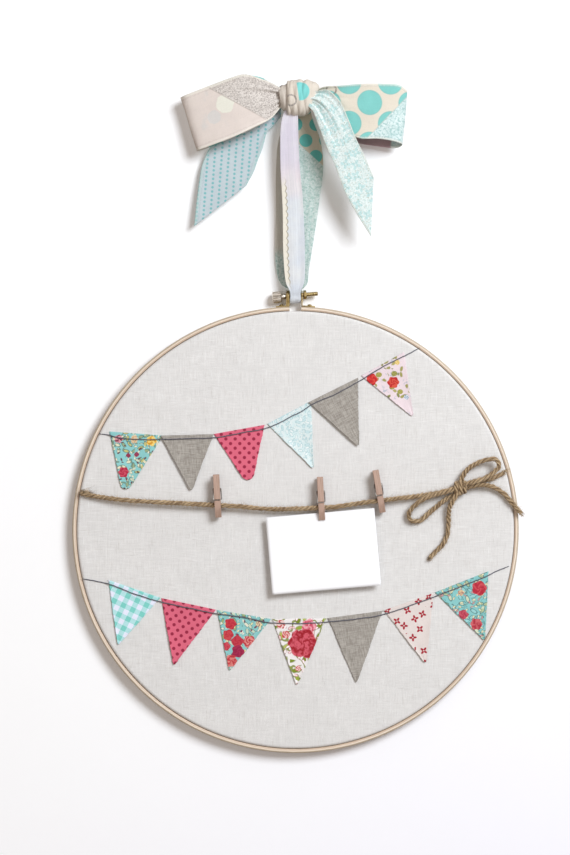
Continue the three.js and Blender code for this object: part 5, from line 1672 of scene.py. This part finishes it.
def paintStrap(vector):
    along = split(ownUv())
    run, crosswise = along[0], along[1]
    cloud = noise(vector, 55.0, 3.0)
    lilac = mixed(remap(cloud, 0.35, 0.65), (212, 205, 218), (222, 217, 224))
    rosy = mixed(remap(cloud, 0.4, 0.6), (222, 212, 216), (226, 220, 222))
    blue = mixed(remap(cloud, 0.3, 0.7), (212, 219, 228), (226, 228, 228))
    pale = mixed(remap(run, 0.03, 0.05), lilac, rosy)
    pale = mixed(remap(run, 0.053, 0.066), pale, blue)
    # Painted shade of fine creases: thin darker lines drawn out along the strap.
    ply = vectorTimes(ownUv(), (14.0, 1500.0, 1.0))
    creaseShade = remap(noise(ply, 1.0, 3.0, 0.6), 0.42, 0.62, 0.3, 0.0)
    pale = mixed(creaseShade, pale, (190, 190, 196))
    ripple = absolute(calc("SINE", times(run, math.pi / 0.0047)))
    border = timesPlus(ripple, 0.0007, 0.0034)
    lower = times(remap(run, 0.044, 0.056), fade(run, 0.118, 0.126))
    inside = times(calc("LESS_THAN", crosswise, border), lower)
    pale = mixed(inside, pale, (226, 220, 206))
    line = fade(absolute(minus(crosswise, border)), 0.0001, 0.00038)
    front = mixed(times(line, lower), pale, (168, 160, 140))
    base = clouded(vector, 80.0, (200, 213, 208), (212, 221, 218))
    aqua = laced(vector, base, 245.0, (150, 183, 175), 0.8)
    small, _ = sideOf(vector, (304, 147), (322.5, 163.6))
    centred = fromPlace(vector, 306, 139)
    spots = spotted(centred, 0.014, 0.0224, 0.0046, 0.0002)
    dotted = mixed(spots["Mask"], (192, 184, 164), (92, 172, 164))
    back = mixed(small, aqua, dotted)
    side = split(vector)
    edge = times(fade(side[0], -0.008, -0.006), remap(side[1], -0.112, -0.1))
    back = mixed(edge, back, (206, 201, 190))
    return mixed(remap(run, 0.136, 0.142), front, back)


def paintKnot(vector):
    ground = mixed(noise(vector, 75.0, 3.0), (204, 192, 178), (226, 217, 205))
    spot = spotted(fromPlace(vector, 300, 93), 0.05, 0.06, 0.0066, 0.0003)
    cut, _ = sideOf(vector, (300.5, 112), (296.5, 84))
    colour = mixed(times(spot["Mask"], minus(1.0, cut)), ground, (122, 204, 200))
    colour = ringPrint(vector, colour, (291, 102), 0.0036, (140, 132, 128))
    collar, _ = sideOf(vector, (288.5, 115), (286.5, 84))
    worn = mixed(noise(vector, 160.0, 3.0), (186, 174, 162), (222, 214, 204))
    worn = ringPrint(vector, worn, (278, 82), 0.0038, (140, 124, 118))
    return mixed(collar, colour, worn)


def makeStrap(v):
    # Rows of a ribbon folded in three: across it the place runs right, back and right
    # again as a cosine, more so where it is narrow, while it sinks from the front layer
    # to the back one.
    bolt = np.array([0, -hoop["depth"] / 2, -v["drop"]])
    ear, width = clamp["earFace"], ribbon["width"]

    def straight(rows):
        r = np.array(rows)
        at = np.column_stack([r[:, 0] * 0, -r[:, 2] * width, -r[:, 3] * v["drop"]])
        return at, r[:, 0] * width, r[:, 1] * width, r[:, 4] * width

    def waist(rows):
        r = np.array(rows)
        at = bolt + np.column_stack([r[:, 0] * 0, -r[:, 2] * v["lugDepth"], r[:, 3] * v["lugDepth"]])
        return at, r[:, 0] * ear, r[:, 1] * ear, r[:, 4] * v["room"]

    def rounded(rows):
        r = np.array(rows)
        turn = np.radians(r[:, 0])
        reach = clamp["boltRadius"] + fit + (r[:, 1] + r[:, 3] / 2) * v["room"]
        at = bolt + np.column_stack([turn * 0, -np.cos(turn) * reach, -np.sin(turn) * reach])
        return at, -r[:, 2] * ear, r[:, 2] * ear, r[:, 3] * v["room"]

    parts = [straight(strapShares["front"]), waist(strapShares["frontWaist"]), rounded(strapShares["turn"]),
             waist(strapShares["backWaist"]), straight(strapShares["back"])]
    at, low, high, thick = (np.concatenate([part[k] for part in parts]) for k in range(4))
    left = smoothCurve(at + np.column_stack([low, low * 0, low * 0]), v["rows"])
    right = smoothCurve(at + np.column_stack([high, high * 0, high * 0]), v["rows"])
    thickness = np.interp(np.linspace(0, len(at) - 1, v["rows"] + 1), np.arange(len(at)), thick)
    spread = np.linalg.norm(right - left, axis=1)
    folded = (1 - smooth(spread, 0.014, 0.026))[:, None]
    c = np.linspace(0, 1, v["cells"] + 1)[None]
    across = (1 - folded) * c + folded * (0.5 - 0.5 * np.cos(3 * np.pi * c))
    middle = (left + right) / 2
    alongDirection = unit(np.gradient(middle, axis=0))
    normal = unit(np.cross(alongDirection, right - left))[:, None]
    spare = np.maximum(thickness / 2 - v["layer"], 0.0002)[:, None]
    sink = spare * ((1 - 2 * c) * folded + (1 - folded) * 0.8 * np.sin(c * 4 * np.pi + 0.6))
    u = np.linspace(0, 1, v["rows"] + 1)[:, None]
    crease = 0.00022 * np.sin(9 * c * np.pi + 11 * u) * np.sin(5 * np.pi * c)
    points = left[:, None] + (right - left)[:, None] * across[..., None] + normal * (sink + crease)[..., None]
    run = runOf(middle)
    uv = stacked(run[:, None], c * width)
    made = surface("hangerStrap", points, uv)
    thicken(made, v["layer"])
    place(made, "ribbon", "pale_ribbon", cloth("strapCloth", paintStrap, useUv=True), "hanger_strap")


def makeBowKnot(v):
    # Rounded-square rings from left to right, smooth between the given ones; the wrapped
    # layer has folds that run round it and one edge that crosses it.
    rings = smoothCurve(np.array(v["rings"]), v["rows"])
    turn = wholeTurn(v["cells"])[None]
    c, s = np.cos(turn), np.sin(turn)
    size = (np.abs(c) ** v["squareness"] + np.abs(s) ** v["squareness"]) ** (-1 / v["squareness"])
    sideways = rings[:, :1]
    phase = sideways * 20 + 1.3 * s + 0.6 * np.sin(2 * turn + 1)
    folds = 0.965 + 0.075 * np.abs(np.sin(phase)) ** 0.6 + 0.02 * np.sin(sideways * 57 - 2.2 * s + c)
    inner = smooth(np.abs(sideways - 0.04), 0.33, 0.2)
    folds = 1 + (folds - 1) * inner
    lapEdge = sideways - (-0.142 + 0.05 * s)
    folds = folds * (1 - 0.03 * (1 - smooth(lapEdge, -0.012, 0.004)) * inner)
    w = ribbon["width"]
    reach = w * size * folds
    points = stacked(
        (sideways * (1 + v["flare"] * s) + v["lean"] * s) * w, -v["out"] * w - c * rings[:, 2:] * reach,
        v["rise"] * w + s * rings[:, 1:2] * reach)
    around = np.linspace(0, 1, v["cells"] + 1)[None] * 0.07
    uv = stacked(np.append(sideways[:, 0], sideways[-1, 0])[:, None] * w, around)
    made = surface("bowKnot", points, uv, wrapCols=True, caps=True)
    place(made, "ribbon", "dotted_ribbon", cloth("knotCloth", paintKnot, useUv=True), "bow_knot")


makeBowKnot(bowKnot)
for side, form, paint, rows, folds, slotName, held in (
        ("left", "Loop", paintLeftLoop, 150, ("gather", 6, True, 3), "dotted_ribbon", "folded"),
        ("right", "Loop", paintRightLoop, 150, ("gather", 6, True, 5), "dotted_ribbon", "folded"),
        ("left", "Tail", paintLeftTail, 110, ("wallGather", 4, False, 8), "pale_ribbon", "hung"),
        ("right", "Tail", paintRightTail, 110, ("gather", 6, False, 9), "pale_ribbon", "hung")):
    label = side + "_" + form.lower()
    lift = gathers(ribbon[folds[0]], *folds[1:])
    material = cloth(side + form + "Cloth", paint, useUv=True)
    makeBowPiece("bow" + side.title() + form, "bow_" + label, ribbonShares[label], rows, lift, material,
                 slotName)
makeStrap(strap)
print("ribbon is tied")
